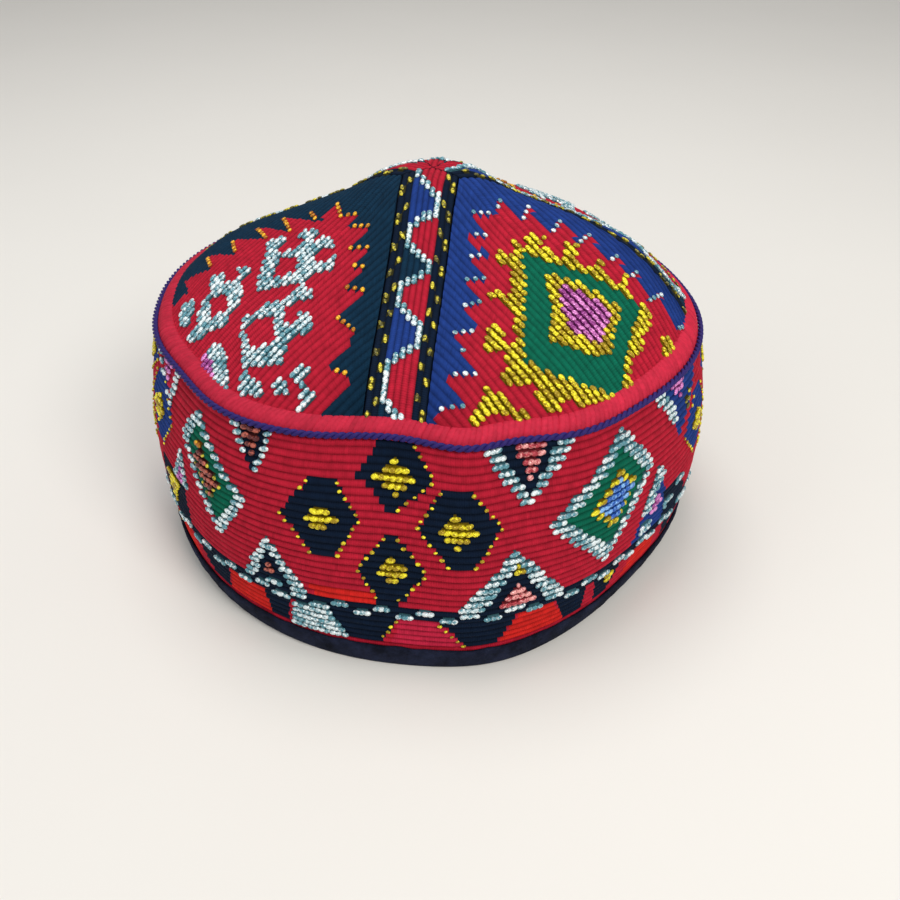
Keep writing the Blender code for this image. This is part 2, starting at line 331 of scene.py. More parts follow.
# From one cluster to the next on its right, in degrees of the front right quarter.
RIGHT_QUARTER = (
    ("silver", ((9.9, -1), (29.2, -1), (18.5, 19))),
    ("navy_black", ((13.6, -1), (25.6, -1), (18.9, 14.8))),
    ("coral", ((16.4, -1), (23.7, -1), (19.4, 11.9))),
    ("silver", ((38.6, 2.3), (47, 19.3), (34.5, 44.9), (21.9, 25))),
    ("leaf_green", ((38, 8.6), (44.2, 20.4), (34.9, 39), (25.6, 24.6))),
    ("gold", ((37.2, 14.6), (41.6, 21.6), (35.4, 33), (30.2, 24.4))),
    ("azure", ((37.2, 17.6), (40.8, 22.4), (35.6, 31.2), (32, 24.2))),
    ("silver", ((15.9, 29.3), (26, 49), (5, 49))),
    ("navy_black", ((16.1, 34.4), (21.9, 49), (10.2, 49))),
    ("coral", ((16.5, 40.5), (20.1, 49), (12.5, 49))),
    ("gold", ((16.3, 34.4), (17.9, 39), (14.7, 39))),
    ("royal_navy", ((49.5, -1), (64, -1), (66, 4), (56.5, 19.5))),
    ("silver", ((47.4, -1), (51, -1), (55.4, 10.5), (54, 13.5))),
    ("magenta", ((53, 0), (59.5, 0), (57, 6.5))),
    ("dull_gold", ((59, 8), (62, 7), (60.8, 12.5), (59, 12))),
    ("royal_navy", ((49, 25), (57.5, 49), (42.5, 49))),
    ("silver", ((49, 22), (51.2, 26.5), (46.6, 38.5), (43.6, 38.5))),
    ("magenta", ((49, 33), (51.5, 38), (47, 41.5))),
    ("silver", ((45, 43), (48.5, 42.4), (48, 46), (44.5, 46))),
    ("navy_black", ((52, 36), (60, 38), (65, 48.9), (54, 48.9))),
    ("silver", ((56.5, 36.4), (60, 35.6), (61, 38.4), (57.5, 39.2))),
    ("silver", ((52.5, 41), (56, 40.2), (56.6, 43), (53, 43.8))),
    # below the dashes
    ("navy_black", ((2.3, 52.3), (17, 52.3), (12.7, 63), (7, 63))),
    ("scarlet", ((17.2, 52.3), (23.5, 52.3), (26.4, 63), (13.4, 63))),
    ("navy_black", ((24, 52.3), (30.8, 52.3), (31.2, 63), (26.6, 63))),
    ("navy_black", ((33, 52.3), (40.5, 52.3), (38.2, 63), (34.2, 63))),
    ("gold", ((35.6, 54), (38.2, 54), (37, 61))),
    ("scarlet", ((45, 52.3), (52, 52.3), (55, 63), (43, 63))),
    ("navy_black", ((56, 52.3), (66, 52.3), (63, 63), (59, 63))),
)

# The same from the cluster on the left up to the front one.
LEFT_QUARTER = (
    ("silver", ((-38.6, -1), (-27.9, -1), (-31.4, 15.3))),
    ("navy_black", ((-36.9, -1), (-29.6, -1), (-31.9, 12.6))),
    ("copper", ((-35.9, -1), (-30.6, -1), (-32.3, 10))),
    ("silver", ((-47.8, 3.4), (-33, 23.3), (-40, 39), (-53, 14.5))),
    ("leaf_green", ((-47, 7.8), (-35.6, 23.2), (-40.4, 34.6), (-50.6, 15.6))),
    ("amber", ((-46.6, 11.4), (-44.6, 14), (-46, 17), (-48, 14.4))),
    ("dull_gold", ((-45.6, 13.8), (-39.3, 22.2), (-41.9, 28.8), (-48.4, 18.6))),
    ("copper", ((-45.8, 15), (-40.2, 22), (-42.3, 27.4), (-47.8, 18.6))),
    ("silver", ((-28.8, 31), (-20.8, 49), (-34.9, 49))),
    ("navy_black", ((-28.8, 35), (-24, 49), (-32.3, 49))),
    ("copper", ((-28.7, 40), (-26.8, 45.6), (-30.4, 45.6))),
    ("silver", ((-30, 46.6), (-26.4, 46.6), (-25.8, 48.9), (-29.4, 48.9))),
    ("silver", ((-72, -1), (-56.6, -1), (-60, 13.4))),
    ("rose_crimson", ((-69.4, -1), (-58.8, -1), (-61, 10))),
    ("magenta", ((-67, -1), (-60.6, -1), (-62.6, 6.5))),
    ("scarlet", ((-21.4, 44.4), (-7.5, 44.4), (-7.5, 48.9), (-19.4, 48.9))),
    ("silver", ((-54, 21), (-50.5, 34), (-57.4, 34))),
    ("magenta", ((-54, 26), (-52.2, 34), (-55.8, 34))),
    ("navy_black", ((-66, 35), (-53, 35), (-52, 49), (-68, 49))),
    ("gold", ((-62.5, 37), (-55.5, 37), (-59, 46))),
    # below the dashes
    ("scarlet", ((-39, 52.3), (-31.2, 52.3), (-29, 63), (-41, 63))),
    ("navy_black", ((-31, 52.3), (-24.8, 52.3), (-26, 63), (-30, 63))),
    ("silver", ((-24, 52.3), (-17.6, 52.3), (-14, 63), (-25.7, 63))),
    ("navy_black", ((-51, 52.3), (-39.6, 52.3), (-41.2, 63), (-47, 63))),
    ("scarlet", ((-60, 52.3), (-54, 52.3), (-52, 63), (-62, 63))),
)

# Where the charts go: which quarter, its own span in degrees, the span it fills on the cap.
QUARTERS = (
    (LEFT_QUARTER, (-80, -6.3), (-80, -6.3)),
    (RIGHT_QUARTER, (-6.3, 79), (-6.3, 79)),
    (RIGHT_QUARTER, (-6.3, 79), (79, 176)),
    (RIGHT_QUARTER, (-6.3, 79), (176, 280)),
)
# Each cluster's middle in degrees, how much higher it sits in millimetres, its diamonds' ground.
CLUSTERS = (
    (-5.8, 0, "navy_black"),
    (79, 0, "royal_navy"),
    (176, 0, "navy_black"),
    (282, 4.2, "royal_navy"),
)
# The border of dashes, in millimetres below the cord.
BORDER_TOP = 48.9
BORDER_FOOT = 52.3
DASH_ROWS = (
    # depth, first start, length and pitch in degrees
    (49.6, 2.3, 3.2, 7.75),
    (51.7, 5.9, 3.2, 7.75),
)

# The gores' charts give millimetres across the ribs and along them from the tip.
HOOKS_FIELD = (
    (-17.6, 26.4), (-9.4, 29.3), (-3.8, 26.5), (-3.2, 31.1), (4.4, 28.1), (3.7, 37.5),
    (9.7, 33.5), (10.2, 41.1), (15.7, 37.5), (15.3, 46.6), (21.4, 42.8), (22.2, 54.4), (30, 52.9),
    (33.1, 65.4), (39.2, 61.8), (40.9, 72.4), (42, 92), (-59.4, 92.2), (-49.4, 84.2),
    (-42.4, 80.2), (-38.8, 72.4), (-48.8, 69), (-37.2, 64.2), (-49.4, 59.7), (-32.8, 56.9),
    (-44.1, 51.9), (-28.4, 47.5), (-41.2, 44.3), (-21.7, 42.2), (-33.7, 37.8), (-15.7, 35.1),
    (-24.6, 32.3), (-15.4, 34.6),
)
HOOKS = (
    ("crimson", HOOKS_FIELD),
    # the large hooked diamond in the middle
    ("silver", (
        (-9.2, 42.4), (-4.8, 43.3), (-0.3, 46.3), (3.3, 48.9), (1.3, 53.4), (-3.2, 56.4),
        (-6.6, 60.5), (-8.8, 62.8), (-12.8, 60.6), (-17.5, 55.3), (-21.1, 52), (-25.8, 48.3),
        (-23.1, 44.8), (-20.6, 44), (-18.9, 46.3), (-19.7, 49.2), (-15.7, 48.6), (-12.5, 45),
        (-11.1, 42.4),
    )),
    ("silver", (
        (-17, 39), (-14, 38), (-11.2, 36.7), (-9.6, 37.3), (-9.7, 40.4), (-8.5, 41.3),
        (-11.1, 43.4), (-13.5, 42), (-15.8, 41.9),
    )),
    ("silver", (
        (-7.8, 37.8), (-5.4, 36.6), (-1.8, 37.8), (0.3, 38.8), (-1.8, 40.6), (-4.8, 40.8),
        (-4.8, 43.8), (-8.3, 41.8),
    )),
    ("silver", (
        (1.7, 42.8), (3.3, 41.4), (5.3, 43.4), (8.4, 43.9), (6.3, 46.2), (3.8, 46.6), (2.8, 48.9),
        (0.2, 46.8),
    )),
    ("crimson", ((-8.6, 46.9), (-4.3, 51.2), (-9.1, 57), (-14, 50.7))),
    # the one on its left
    ("silver", (
        (-20.3, 62.7), (-16.6, 63.2), (-13.8, 65.1), (-10.9, 68.1), (-10.1, 72.5), (-7.9, 76),
        (-11.4, 78.1), (-12.4, 81.1), (-14.9, 84.1), (-18.8, 84.1), (-19.2, 79.6), (-22.5, 77.7),
        (-24.7, 74.3), (-25.9, 71), (-27.1, 68.1), (-23, 65.9), (-21.6, 63.9),
    )),
    ("silver", (
        (-25, 59.7), (-21.5, 58.5), (-19.8, 57.9), (-19.5, 61.8), (-18, 64.7), (-20.7, 64.9),
        (-21.6, 61.9), (-24.7, 61.1),
    )),
    ("silver", (
        (-33.1, 65.9), (-30, 65.4), (-27.7, 62.6), (-26.1, 64.9), (-23.5, 67), (-23.6, 68.9),
        (-27.2, 70.3), (-29.3, 68.2), (-31.9, 67.4),
    )),
    ("crimson", ((-19.3, 68.3), (-11.8, 71.4), (-15.6, 76), (-23.1, 72.7))),
    # the one on its right, with its tail
    ("silver", (
        (3.5, 60.4), (6.9, 62.9), (10.9, 65.9), (12.4, 63.9), (11.4, 59.9), (12.9, 58.2),
        (16.4, 59.5), (18.4, 60.5), (19.9, 62.5), (17.4, 65.5), (17.9, 69), (20, 70.5),
        (20.5, 74.5), (17.5, 77), (15, 79), (12, 80.5), (9.5, 80), (5.9, 77.5), (1.4, 75.5),
        (-2.5, 73), (-4, 69.5), (-1.1, 67.5), (-1.6, 64.4), (0.8, 61.4),
    )),
    ("silver", (
        (2.8, 52.9), (6.8, 53.4), (9.4, 52.4), (9.9, 55.4), (7.3, 57.4), (5.6, 60.9), (3.2, 60.9),
        (3.3, 55.9),
    )),
    ("silver", (
        (9.4, 79), (12.5, 79.5), (15, 82), (20, 80.5), (22.5, 81.5), (23.5, 83.5), (20, 85),
        (17.5, 87), (15, 85.5), (13, 82.5),
    )),
    ("crimson", ((5.4, 65.8), (13.6, 70.6), (8.3, 76.3), (0.8, 73.4), (0, 69.1))),
    # what lies along the roll
    ("silver", (
        (-6, 80.3), (-3, 80), (0, 80.5), (4, 82.5), (8, 84.5), (12, 86.5), (14.5, 88), (10, 89.3),
        (4, 89), (-1, 88), (-5, 86.5), (-7.5, 85), (-6.5, 82),
    )),
    ("magenta", ((-6, 84), (-1, 84.5), (4, 87), (5.5, 89), (0, 88.5), (-5, 86.5))),
    ("silver", (
        (-32.1, 74.6), (-28.9, 74.9), (-26.2, 76.8), (-24, 79.7), (-23.6, 82.1), (-27.5, 82.2),
        (-31.2, 79.8), (-33.3, 77.5),
    )),
    ("silver", (
        (25, 71), (27, 69.5), (29, 69), (30.5, 70.5), (31, 73), (33.5, 72.5), (35, 72),
        (36.5, 75), (37.5, 77.5), (35.5, 78), (34, 79.8), (33.5, 76.5), (31.5, 74.5), (29, 74),
        (26.5, 74.5),
    )),
    ("silver", ((23.3, 76.5), (27, 76), (29, 77), (28.5, 80), (25, 80.3), (24, 78.5))),
)
# Rows of single stitches along the teeth's slanting edges, from and to.
HOOKS_BEADS = (
    ((-16.5, 26.6), (-7.8, 30.9)), ((-3.8, 26.7), (-8.4, 29.3)), ((4.2, 28.3), (-2.6, 31.4)),
    ((9.7, 33.8), (5, 37.2)), ((15.6, 37.9), (10.5, 40.9)), ((21.2, 43.1), (15.9, 46.3)),
    ((29.8, 53.3), (22.4, 54.2)), ((38.7, 62), (33.4, 65.2)), ((-24, 32.6), (-16.3, 35)),
    ((-32, 38.1), (-21.8, 41.9)), ((-38.4, 45), (-28.7, 47.3)), ((-42.2, 52.6), (-33.1, 56.6)),
    ((-46.5, 60.6), (-37.4, 64)),
)

DIAMOND_FIELD = (
    (-5.2, 21.7), (1.9, 26), (7.5, 23), (7.4, 32.7), (13.2, 29.8), (11.9, 41.1), (18.2, 39.1),
    (16.8, 48.5), (22, 48), (20.3, 58.1), (25, 57.8), (21.4, 65.2), (26.2, 64.3), (23.2, 72.4),
    (30.3, 71.6), (28.4, 78.6), (29.3, 80.2), (38.5, 79.1), (40.5, 92.8), (-60, 92), (-57, 63),
    (-53.9, 59), (-48.2, 64.3), (-46.2, 55), (-39.8, 60.4), (-36.6, 47), (-29.6, 51.4),
    (-28.5, 42.4), (-22.4, 44.9), (-21.9, 36.5), (-16, 40.6), (-15.5, 31.9), (-10.3, 35.2),
    (-10.4, 26.5), (-4.6, 30.9),
)
DIAMOND = (
    ("crimson", DIAMOND_FIELD),
    # the gold's ragged outer edge, clockwise from its top
    ("gold", (
        (0, 33.8), (1.3, 37.7), (2.6, 39.3), (4.4, 36.5), (6.2, 35.7), (7.7, 38.1), (9, 40.5),
        (6.4, 41.5), (7.1, 44.2), (8.6, 47.6), (9.3, 50.2), (10.8, 50.7), (10.5, 48), (11.3, 46),
        (13.5, 45.3), (15.6, 47.9), (14.2, 50.5), (12.3, 51.5), (12.7, 54.5), (14.9, 56.1),
        (16.6, 55.1), (18.4, 55.6), (17.7, 57.3), (15.6, 58.7), (16.1, 61.2), (17, 64.2),
        (18.1, 63.9), (22.1, 62.9), (22.5, 63.9), (20.5, 65.3), (18, 66.6), (18.3, 69.8),
        (20, 72.6), (20, 75.2), (17.4, 77.2), (13.1, 78.2), (10.7, 80.3), (9, 81.5), (4.8, 81),
        (2.5, 82.8), (-0.3, 84.2), (-0.2, 87.1), (-4.1, 87.1), (-9.1, 87.3), (-13, 86.5),
        (-18, 85), (-22.5, 83.5), (-23, 80.5), (-26, 79.5), (-27, 81.5), (-29.5, 80.5), (-31, 78),
        (-30, 75), (-28.5, 72), (-31, 71.5), (-32, 69), (-34.5, 67.5), (-35, 64.5), (-31, 64),
        (-29.5, 62), (-28.5, 60), (-31.5, 58), (-33, 56), (-30, 54.5), (-28, 52.5), (-26.5, 51.3),
        (-24.5, 52), (-23.9, 55), (-26, 57.5), (-25, 60.5), (-22.4, 58.9), (-21.9, 56.4),
        (-18.9, 55.9), (-18.4, 51.4), (-16.9, 49.9), (-17.9, 47.4), (-20.4, 45.4), (-19.4, 44.4),
        (-15.9, 44.4), (-14.9, 47.9), (-11.9, 47.4), (-10.9, 44.9), (-8.4, 43.4), (-6.9, 41.4),
        (-10.4, 37.9), (-7.3, 35.4), (-4.3, 35.4), (-3.9, 38.4), (-2, 38),
    )),
    ("leaf_green", (
        (-0.1, 39.4), (3.3, 45.1), (7.3, 50.8), (10.8, 56.1), (13.9, 63.1), (17.1, 69.2),
        (18.1, 72.8), (13.6, 74.1), (6.9, 77.7), (0.6, 81.3), (-5.1, 85.6), (-8.6, 86.3),
        (-12, 83.5), (-17, 79), (-21.5, 73.5), (-25, 68.5), (-25.3, 65.5), (-21.4, 60.9),
        (-16.9, 56.9), (-11.9, 52.4), (-6.9, 47.9), (-3.5, 43.5),
    )),
    ("gold", (
        (0.6, 48.9), (3.6, 51.2), (5.2, 54.5), (7.6, 57.9), (9.2, 62.7), (11.2, 67.8), (10.8, 71),
        (6.6, 72.5), (2.2, 75), (-1, 77.5), (-5.2, 77), (-9.6, 73.1), (-12.5, 69.5),
        (-15.5, 65.8), (-12.5, 63), (-9, 60), (-6.1, 57.6), (-3.7, 54.6), (-1.3, 50.2),
    )),
    ("magenta", (
        (1.9, 54.2), (4.3, 57.4), (6.8, 63.3), (7.7, 67.8), (6.5, 70.5), (2.2, 71.6), (-1, 73.9),
        (-2.9, 74.3), (-5.3, 70.2), (-7.1, 66.6), (-5.7, 63.1), (-3.3, 58.7), (-0.5, 55.4),
    )),
    # the branch on the left and the leaf on the right
    ("gold", (
        (-50, 67.5), (-46, 66.5), (-42, 65.5), (-40.5, 64), (-38.5, 64.5), (-38, 67), (-36.8, 69),
        (-37, 72), (-35, 75.5), (-34.5, 77), (-37, 77), (-39.5, 74.5), (-40.5, 71), (-44, 69.8),
        (-48, 70.5),
    )),
    ("gold", (
        (17.4, 82.5), (18.8, 80.5), (22.2, 80.9), (23.6, 82.6), (22.3, 84.7), (18.8, 84.7),
        (16, 85.1), (13.2, 86), (16.2, 83.8),
    )),
)
DIAMOND_BEADS = (
    ((-4.9, 22), (1.3, 25.3)), ((7.2, 23.3), (2.6, 25.8)), ((-10.1, 26.8), (-4.8, 30.8)),
    ((-15.2, 32.2), (-10.5, 35)), ((-21.6, 36.8), (-16.2, 40.4)), ((-28.2, 42.7), (-22.6, 44.8)),
    ((-36.3, 47.3), (-29.8, 51.2)), ((-46, 55.3), (-40, 60.2)), ((-53.7, 59.3), (-48.4, 64.1)),
    ((7.6, 32.6), (13, 29.9)), ((12.1, 41.1), (18.1, 39.3)), ((16.9, 48.5), (21.8, 48.1)),
    ((20.5, 58), (24.8, 57.9)), ((21.6, 65.1), (26.1, 64.4)), ((23.3, 72.3), (30.2, 71.8)),
    ((29.7, 80.1), (37.3, 79.4)), ((-39.2, 53.1), (-37.6, 53.1)),
)
# Each chart's ground, its shapes, and the metal and places of its bead rows.
CHARTS = {
    "hooks": ("dark_teal", HOOKS, "amber", HOOKS_BEADS),
    "diamond": ("royal_navy", DIAMOND, "silver", DIAMOND_BEADS),
}

# The strips' zigzag of silver: millimetres off the middle, millimetres from the tip.
ZIGZAG = (
    (-6, 3), (-3, 8), (0.3, 11.8), (2.7, 14), (5, 16), (5, 19.6), (2.6, 20.6), (0.2, 21.4),
    (-2.6, 23.2), (-4.3, 25), (-4.3, 29.2), (-2.2, 31.2), (0.4, 33.2), (2.8, 34.8), (4.6, 36),
    (4.6, 37.6), (2.2, 39), (0.3, 40.8), (-2, 41.8), (-4.3, 43.4), (-5, 47.8), (-2.7, 49.7),
    (-0.5, 51.9), (2, 54), (4.2, 55.2), (4.2, 60), (2.9, 62.4), (1, 63.4), (-0.9, 64.9),
    (-3.1, 66.8), (-5.1, 68), (-5.2, 75), (-2.8, 77), (-0.9, 78.6), (1.6, 80.6), (2.6, 84),
)
ZIGZAG_WIDTH = 2.3
# The silk on the zigzag's left: down to how far from the tip.
LEFT_TRIANGLES = (
    ("royal_navy", 26.5), ("dark_teal", 45.5), ("royal_navy", 71), ("dark_teal", 99),
)
# Half the width of the coloured middle, between the black edges.
STRIP_FIELD = 5.2
STRIP_DASHES = (
    # off the middle, first start, length, pitch
    (-8.15, 4.5, 3.2, 8.3),
    (-6.1, 8.6, 2.8, 8.3),
    (6.1, 7.4, 2.8, 8.3),
    (8.15, 11.4, 3.2, 8.3),
)

# ---------------------------------------------------------------- settings


def linear(code):
    """An sRGB hex colour as linear RGB."""
    parts = np.array([int(code[i : i + 2], 16) for i in (0, 2, 4)]) / 255
    return tuple(np.where(parts <= 0.04045, parts / 12.92, ((parts + 0.055) / 1.055) ** 2.4))


def colour(name, description, code):
    return bpy.props.FloatVectorProperty(
        name=name, description=description, subtype="COLOR", size=3, min=0, max=1,
        default=linear(code),
    )


def length(name, description, default):
    return bpy.props.FloatProperty(
        name=name, description=description, default=default, min=0, unit="LENGTH", precision=5
    )


def power(name, description, default):
    return bpy.props.FloatProperty(name=name, description=description, default=default, min=0)


class SkullcapSizes(bpy.types.PropertyGroup):
    rib_pitch: length("Rib pitch", "From one corded rib to the next", 0.00211)
    band_relief: length("Band relief", "How far a band rib stands over its grooves", 0.00062)
    crown_relief: length("Crown relief", "How far a crown rib stands over its grooves", 0.00042)
    stitch_pitch: length("Stitch pitch", "From one metal stitch to the next on its rib", 0.0019)
    stitch_length: length("Stitch length", "One metal stitch along its rib", 0.0025)
    stitch_width: length("Stitch width", "One metal stitch across its rib", 0.00175)
    stitch_height: length("Stitch height", "How thick a metal stitch is", 0.0012)
    whip_stitches: bpy.props.IntProperty(
        name="Whip stitches", description="Overcast stitches round the roll", default=340, min=50
    )
    cord_diameter: length("Cord diameter", "The laid cord below the roll", 0.0019)
    cord_twist: length("Cord twist", "Length of one turn of the cord's two plies", 0.0044)


class SkullcapColours(bpy.types.PropertyGroup):
    crimson: colour("Crimson", "Silk of the band and of the gores' fields", "AC1B30")
    scarlet: colour("Scarlet", "Silk at the foot of the band", "C6221E")
    rose_crimson: colour("Rose crimson", "Silk under the front cluster", "B8223F")
    navy_black: colour("Navy black", "Silk behind the gold diamonds", "08172B")
    royal_navy: colour("Royal navy", "Ground of two gores", "1C387C")
    dark_teal: colour("Dark teal", "Ground of the other gores", "0A2A40")
    leaf_green: colour("Leaf green", "Rings of the large diamonds", "045E48")
    cotton: colour("Cotton", "Plain lining", "B9AE9C")
    # Each metal's bright colour is painted in spots as painted highlights and glints. Its dull
    # colour is the thread's own, darkened as painted shade.
    silver: colour("Silver thread", "Bright side of silver stitches", "F2FDFF")
    silver_body: colour("Silver thread, dull", "Dull side of silver stitches", "5E98A6")
    gold: colour("Gold thread", "Bright side of gold stitches", "FFF02E")
    gold_body: colour("Gold thread, dull", "Dull side of gold stitches", "A88C10")
    amber: colour("Amber thread", "Bright side of amber stitches", "FFC22A")
    amber_body: colour("Amber thread, dull", "Dull side of amber stitches", "B06A10")
    dull_gold: colour("Dull gold thread", "Bright side of dull gold stitches", "E2D23C")
    dull_gold_body: colour("Dull gold thread, dull", "Dull side of dull gold stitches", "5E5A2C")
    magenta: colour("Magenta thread", "Bright side of magenta stitches", "F096DC")
    magenta_body: colour("Magenta thread, dull", "Dull side of magenta stitches", "9A3C8C")
    azure: colour("Azure thread", "Bright side of blue stitches", "8CC4FF")
    azure_body: colour("Azure thread, dull", "Dull side of blue stitches", "2A62C0")
    coral: colour("Coral thread", "Bright side of pale red stitches", "FFB4B0")
    coral_body: colour("Coral thread, dull", "Dull side of pale red stitches", "B43C48")
    copper: colour("Copper thread", "Bright side of copper stitches", "C86A58")
    copper_body: colour("Copper thread, dull", "Dull side of copper stitches", "5E2426")
    vermilion: colour("Vermilion", "Overcasting of the roll", "BC263E")
    purple: colour("Purple", "Cord below the roll", "2E2466")
    binding: colour("Binding", "Cloth round the lower edge", "161A2A")
    floor: colour("Floor", "The surface that the cap stands on", "E9E6E0")


class SkullcapStage(bpy.types.PropertyGroup):
    camera_place: bpy.props.FloatVectorProperty(
        name="Camera", description="Where the camera stands", subtype="XYZ", unit="LENGTH",
        default=(0.0080, -0.2731, 0.2227),
    )
    camera_pitch: bpy.props.FloatProperty(
        name="Pitch", description="How far the camera looks down", subtype="ANGLE",
        default=math.radians(38),
    )
    key_power: power("Key", "Main light, in watts", 4.8)
    fill_power: power("Fill", "Side light, in watts", 1.3)
    top_power: power("Top", "Light above, in watts", 3.0)


SILKS = (
    "crimson", "scarlet", "rose_crimson", "navy_black", "royal_navy", "dark_teal", "leaf_green",
    "cotton",
)
METALS = ("silver", "gold", "amber", "dull_gold", "magenta", "azure", "coral", "copper")
KINDS = SILKS + METALS
# How bright the cloth under a metal stitch is painted, as painted shadow under the stitch, as a
# share of the stitch's dull side.
PAINTED_BED_SHADOW = 0.4


def sizes():
    return bpy.context.scene.skullcap_sizes


def colours():
    return bpy.context.scene.skullcap_colours


def kind_colours():
    """Linear RGB of every kind of thread, and of the painted shadow on the cloth under a metal one.
    """
    table = colours()
    silks = [tuple(getattr(table, name)) for name in SILKS]
    beds = [tuple(PAINTED_BED_SHADOW * c for c in getattr(table, name + "_body")) for name in METALS]
    return np.array(silks + beds)


# ---------------------------------------------------------------- materials


def add_node(tree, kind, inputs=None, **settings):
    """Adds a node with its settings. An input is a value, or a socket of another node."""
    made = tree.nodes.new(kind)
    for name, value in settings.items():
        setattr(made, name, value)
    for name, value in (inputs or {}).items():
        if isinstance(value, bpy.types.NodeSocket):
            tree.links.new(value, made.inputs[name])
        else:
            made.inputs[name].default_value = value
    return made


def new_material(name, shader_values):
    """A material, its node tree and its shader, whose plain values are set on its own sockets."""
    material = bpy.data.materials.new(name)
    material.use_nodes = True
    shader = material.node_tree.nodes["Principled BSDF"]
    for socket, value in shader_values.items():
        shader.inputs[socket].default_value = value
    return material, material.node_tree, shader


def unevenly_dyed(tree, shader, place, scale, spread):
    """Joins the thread's own colour to the shader, lighter and darker by a spread in clouds."""
    thread = add_node(tree, "ShaderNodeAttribute", attribute_name="thread_colour")
    cloud = add_node(
        tree, "ShaderNodeTexNoise",
        {"Vector": place.outputs["Object"], "Scale": scale, "Detail": 3.0},
    )
    shade = add_node(
        tree, "ShaderNodeMapRange",
        {"Value": cloud.outputs["Fac"], "To Min": 1 - spread, "To Max": 1 + spread},
    )
    mixed = add_node(
        tree, "ShaderNodeMix", {0: 1.0, 6: thread.outputs["Color"], 7: shade.outputs["Result"]},
        data_type="RGBA", blend_type="MULTIPLY",
    )
    tree.links.new(mixed.outputs[2], shader.inputs["Base Color"])


# Wave Texture draws one band every 0.314 / scale. A noise of scale n has clouds of 1 / n metres.
WAVE_UNIT = 0.314
SILK_CLOUD = 260.0
SILK_FIBRE = 2600.0
# From one drawn line of thread to the next, and how deep the lines lie.
STRAND_PITCH = 0.0007
STRAND_DEPTH = 0.00014


def laid_silk(name):
    """Mercerised thread laid side by side: a soft gloss, fine lines across each rib."""
    material, tree, shader = new_material(name, {"Roughness": 0.75, "Specular IOR Level": 0.08})
    place = add_node(tree, "ShaderNodeTexCoord")
    unevenly_dyed(tree, shader, place, SILK_CLOUD, 0.28)
    lay = add_node(tree, "ShaderNodeUVMap", uv_map="thread_lay")
    lines = add_node(
        tree, "ShaderNodeTexWave",
        {"Vector": lay.outputs["UV"], "Scale": WAVE_UNIT / STRAND_PITCH, "Distortion": 1.6,
         "Detail": 2.0, "Detail Scale": 0.6},
    )
    fibre = add_node(
        tree, "ShaderNodeTexNoise",
        {"Vector": place.outputs["Object"], "Scale": SILK_FIBRE, "Detail": 2.0},
    )
    height = add_node(
        tree, "ShaderNodeMath", {0: lines.outputs["Fac"], 1: fibre.outputs["Fac"]}, operation="ADD"
    )
    bump = add_node(
        tree, "ShaderNodeBump",
        {"Strength": 0.6, "Distance": STRAND_DEPTH, "Height": height.outputs[0]},
    )
    tree.links.new(bump.outputs["Normal"], shader.inputs["Normal"])
    return material


# The painted highlights on the foil come in spots of about 1 mm, and one turn of it is 0.45 mm
# long.
FOIL_SPOT = 1100.0
FOIL_TURN = 0.00045


def metal_thread(name, bright, body):
    """Foil wound round a cotton core, so each turn is a bright line over a dull one; its colour is
    painted highlights in spots over the dull colour.
    """
    material, tree, shader = new_material(name, {"Metallic": 0.35, "Roughness": 0.32})
    place = add_node(tree, "ShaderNodeTexCoord")
    tint = add_node(tree, "ShaderNodeAttribute", attribute_name="stitch_tint")
    spots = add_node(
        tree, "ShaderNodeTexNoise",
        {"Vector": place.outputs["Object"], "Scale": FOIL_SPOT, "Detail": 3.0},
    )
    both = add_node(
        tree, "ShaderNodeMath", {0: spots.outputs["Fac"], 1: tint.outputs["Fac"]}, operation="ADD"
    )
    # Painted highlight: spots of the bright colour over the dull one, with each stitch's tint
    # nudging it lighter or darker.
    ramp = add_node(tree, "ShaderNodeValToRGB", {"Fac": both.outputs[0]})
    low, high = ramp.color_ramp.elements
    low.position, low.color = 0.42, (*body, 1.0)
    high.position, high.color = 0.6, (*bright, 1.0)
    tree.links.new(ramp.outputs["Color"], shader.inputs["Base Color"])
    turns = add_node(
        tree, "ShaderNodeTexWave",
        {"Vector": place.outputs["Object"], "Scale": WAVE_UNIT / FOIL_TURN, "Distortion": 2.0},
        bands_direction="DIAGONAL",
    )
    bump = add_node(
        tree, "ShaderNodeBump",
        {"Strength": 0.7, "Distance": 0.00012, "Height": turns.outputs["Fac"]},
    )
    tree.links.new(bump.outputs["Normal"], shader.inputs["Normal"])
    return material


# The nap stands in tufts of about 1.4 mm, and the cloth is worn in patches of about 9 mm.
NAP_TUFT = 700.0
WORN_PATCH = 110.0


def napped_cloth(name, shade):
    """Black cotton sateen gone dull: a short nap that catches a little light."""
    material, tree, shader = new_material(name, {"Roughness": 0.95, "Specular IOR Level": 0.1})
    place = add_node(tree, "ShaderNodeTexCoord")
    nap = add_node(
        tree, "ShaderNodeTexNoise",
        {"Vector": place.outputs["Object"], "Scale": NAP_TUFT, "Detail": 6.0, "Roughness": 0.7},
    )
    wear = add_node(
        tree, "ShaderNodeTexNoise",
        {"Vector": place.outputs["Object"], "Scale": WORN_PATCH, "Detail": 6.0, "Roughness": 0.75},
    )
    ramp = add_node(tree, "ShaderNodeValToRGB", {"Fac": wear.outputs["Fac"]})
    low, high = ramp.color_ramp.elements
    low.position, low.color = 0.36, (*(0.6 * c for c in shade), 1.0)
    high.position, high.color = 0.68, (*(2.6 * c for c in shade), 1.0)
    tree.links.new(ramp.outputs["Color"], shader.inputs["Base Color"])
    bump = add_node(
        tree, "ShaderNodeBump", {"Strength": 1.0, "Distance": 0.0007, "Height": nap.outputs["Fac"]}
    )
    tree.links.new(bump.outputs["Normal"], shader.inputs["Normal"])
    return material


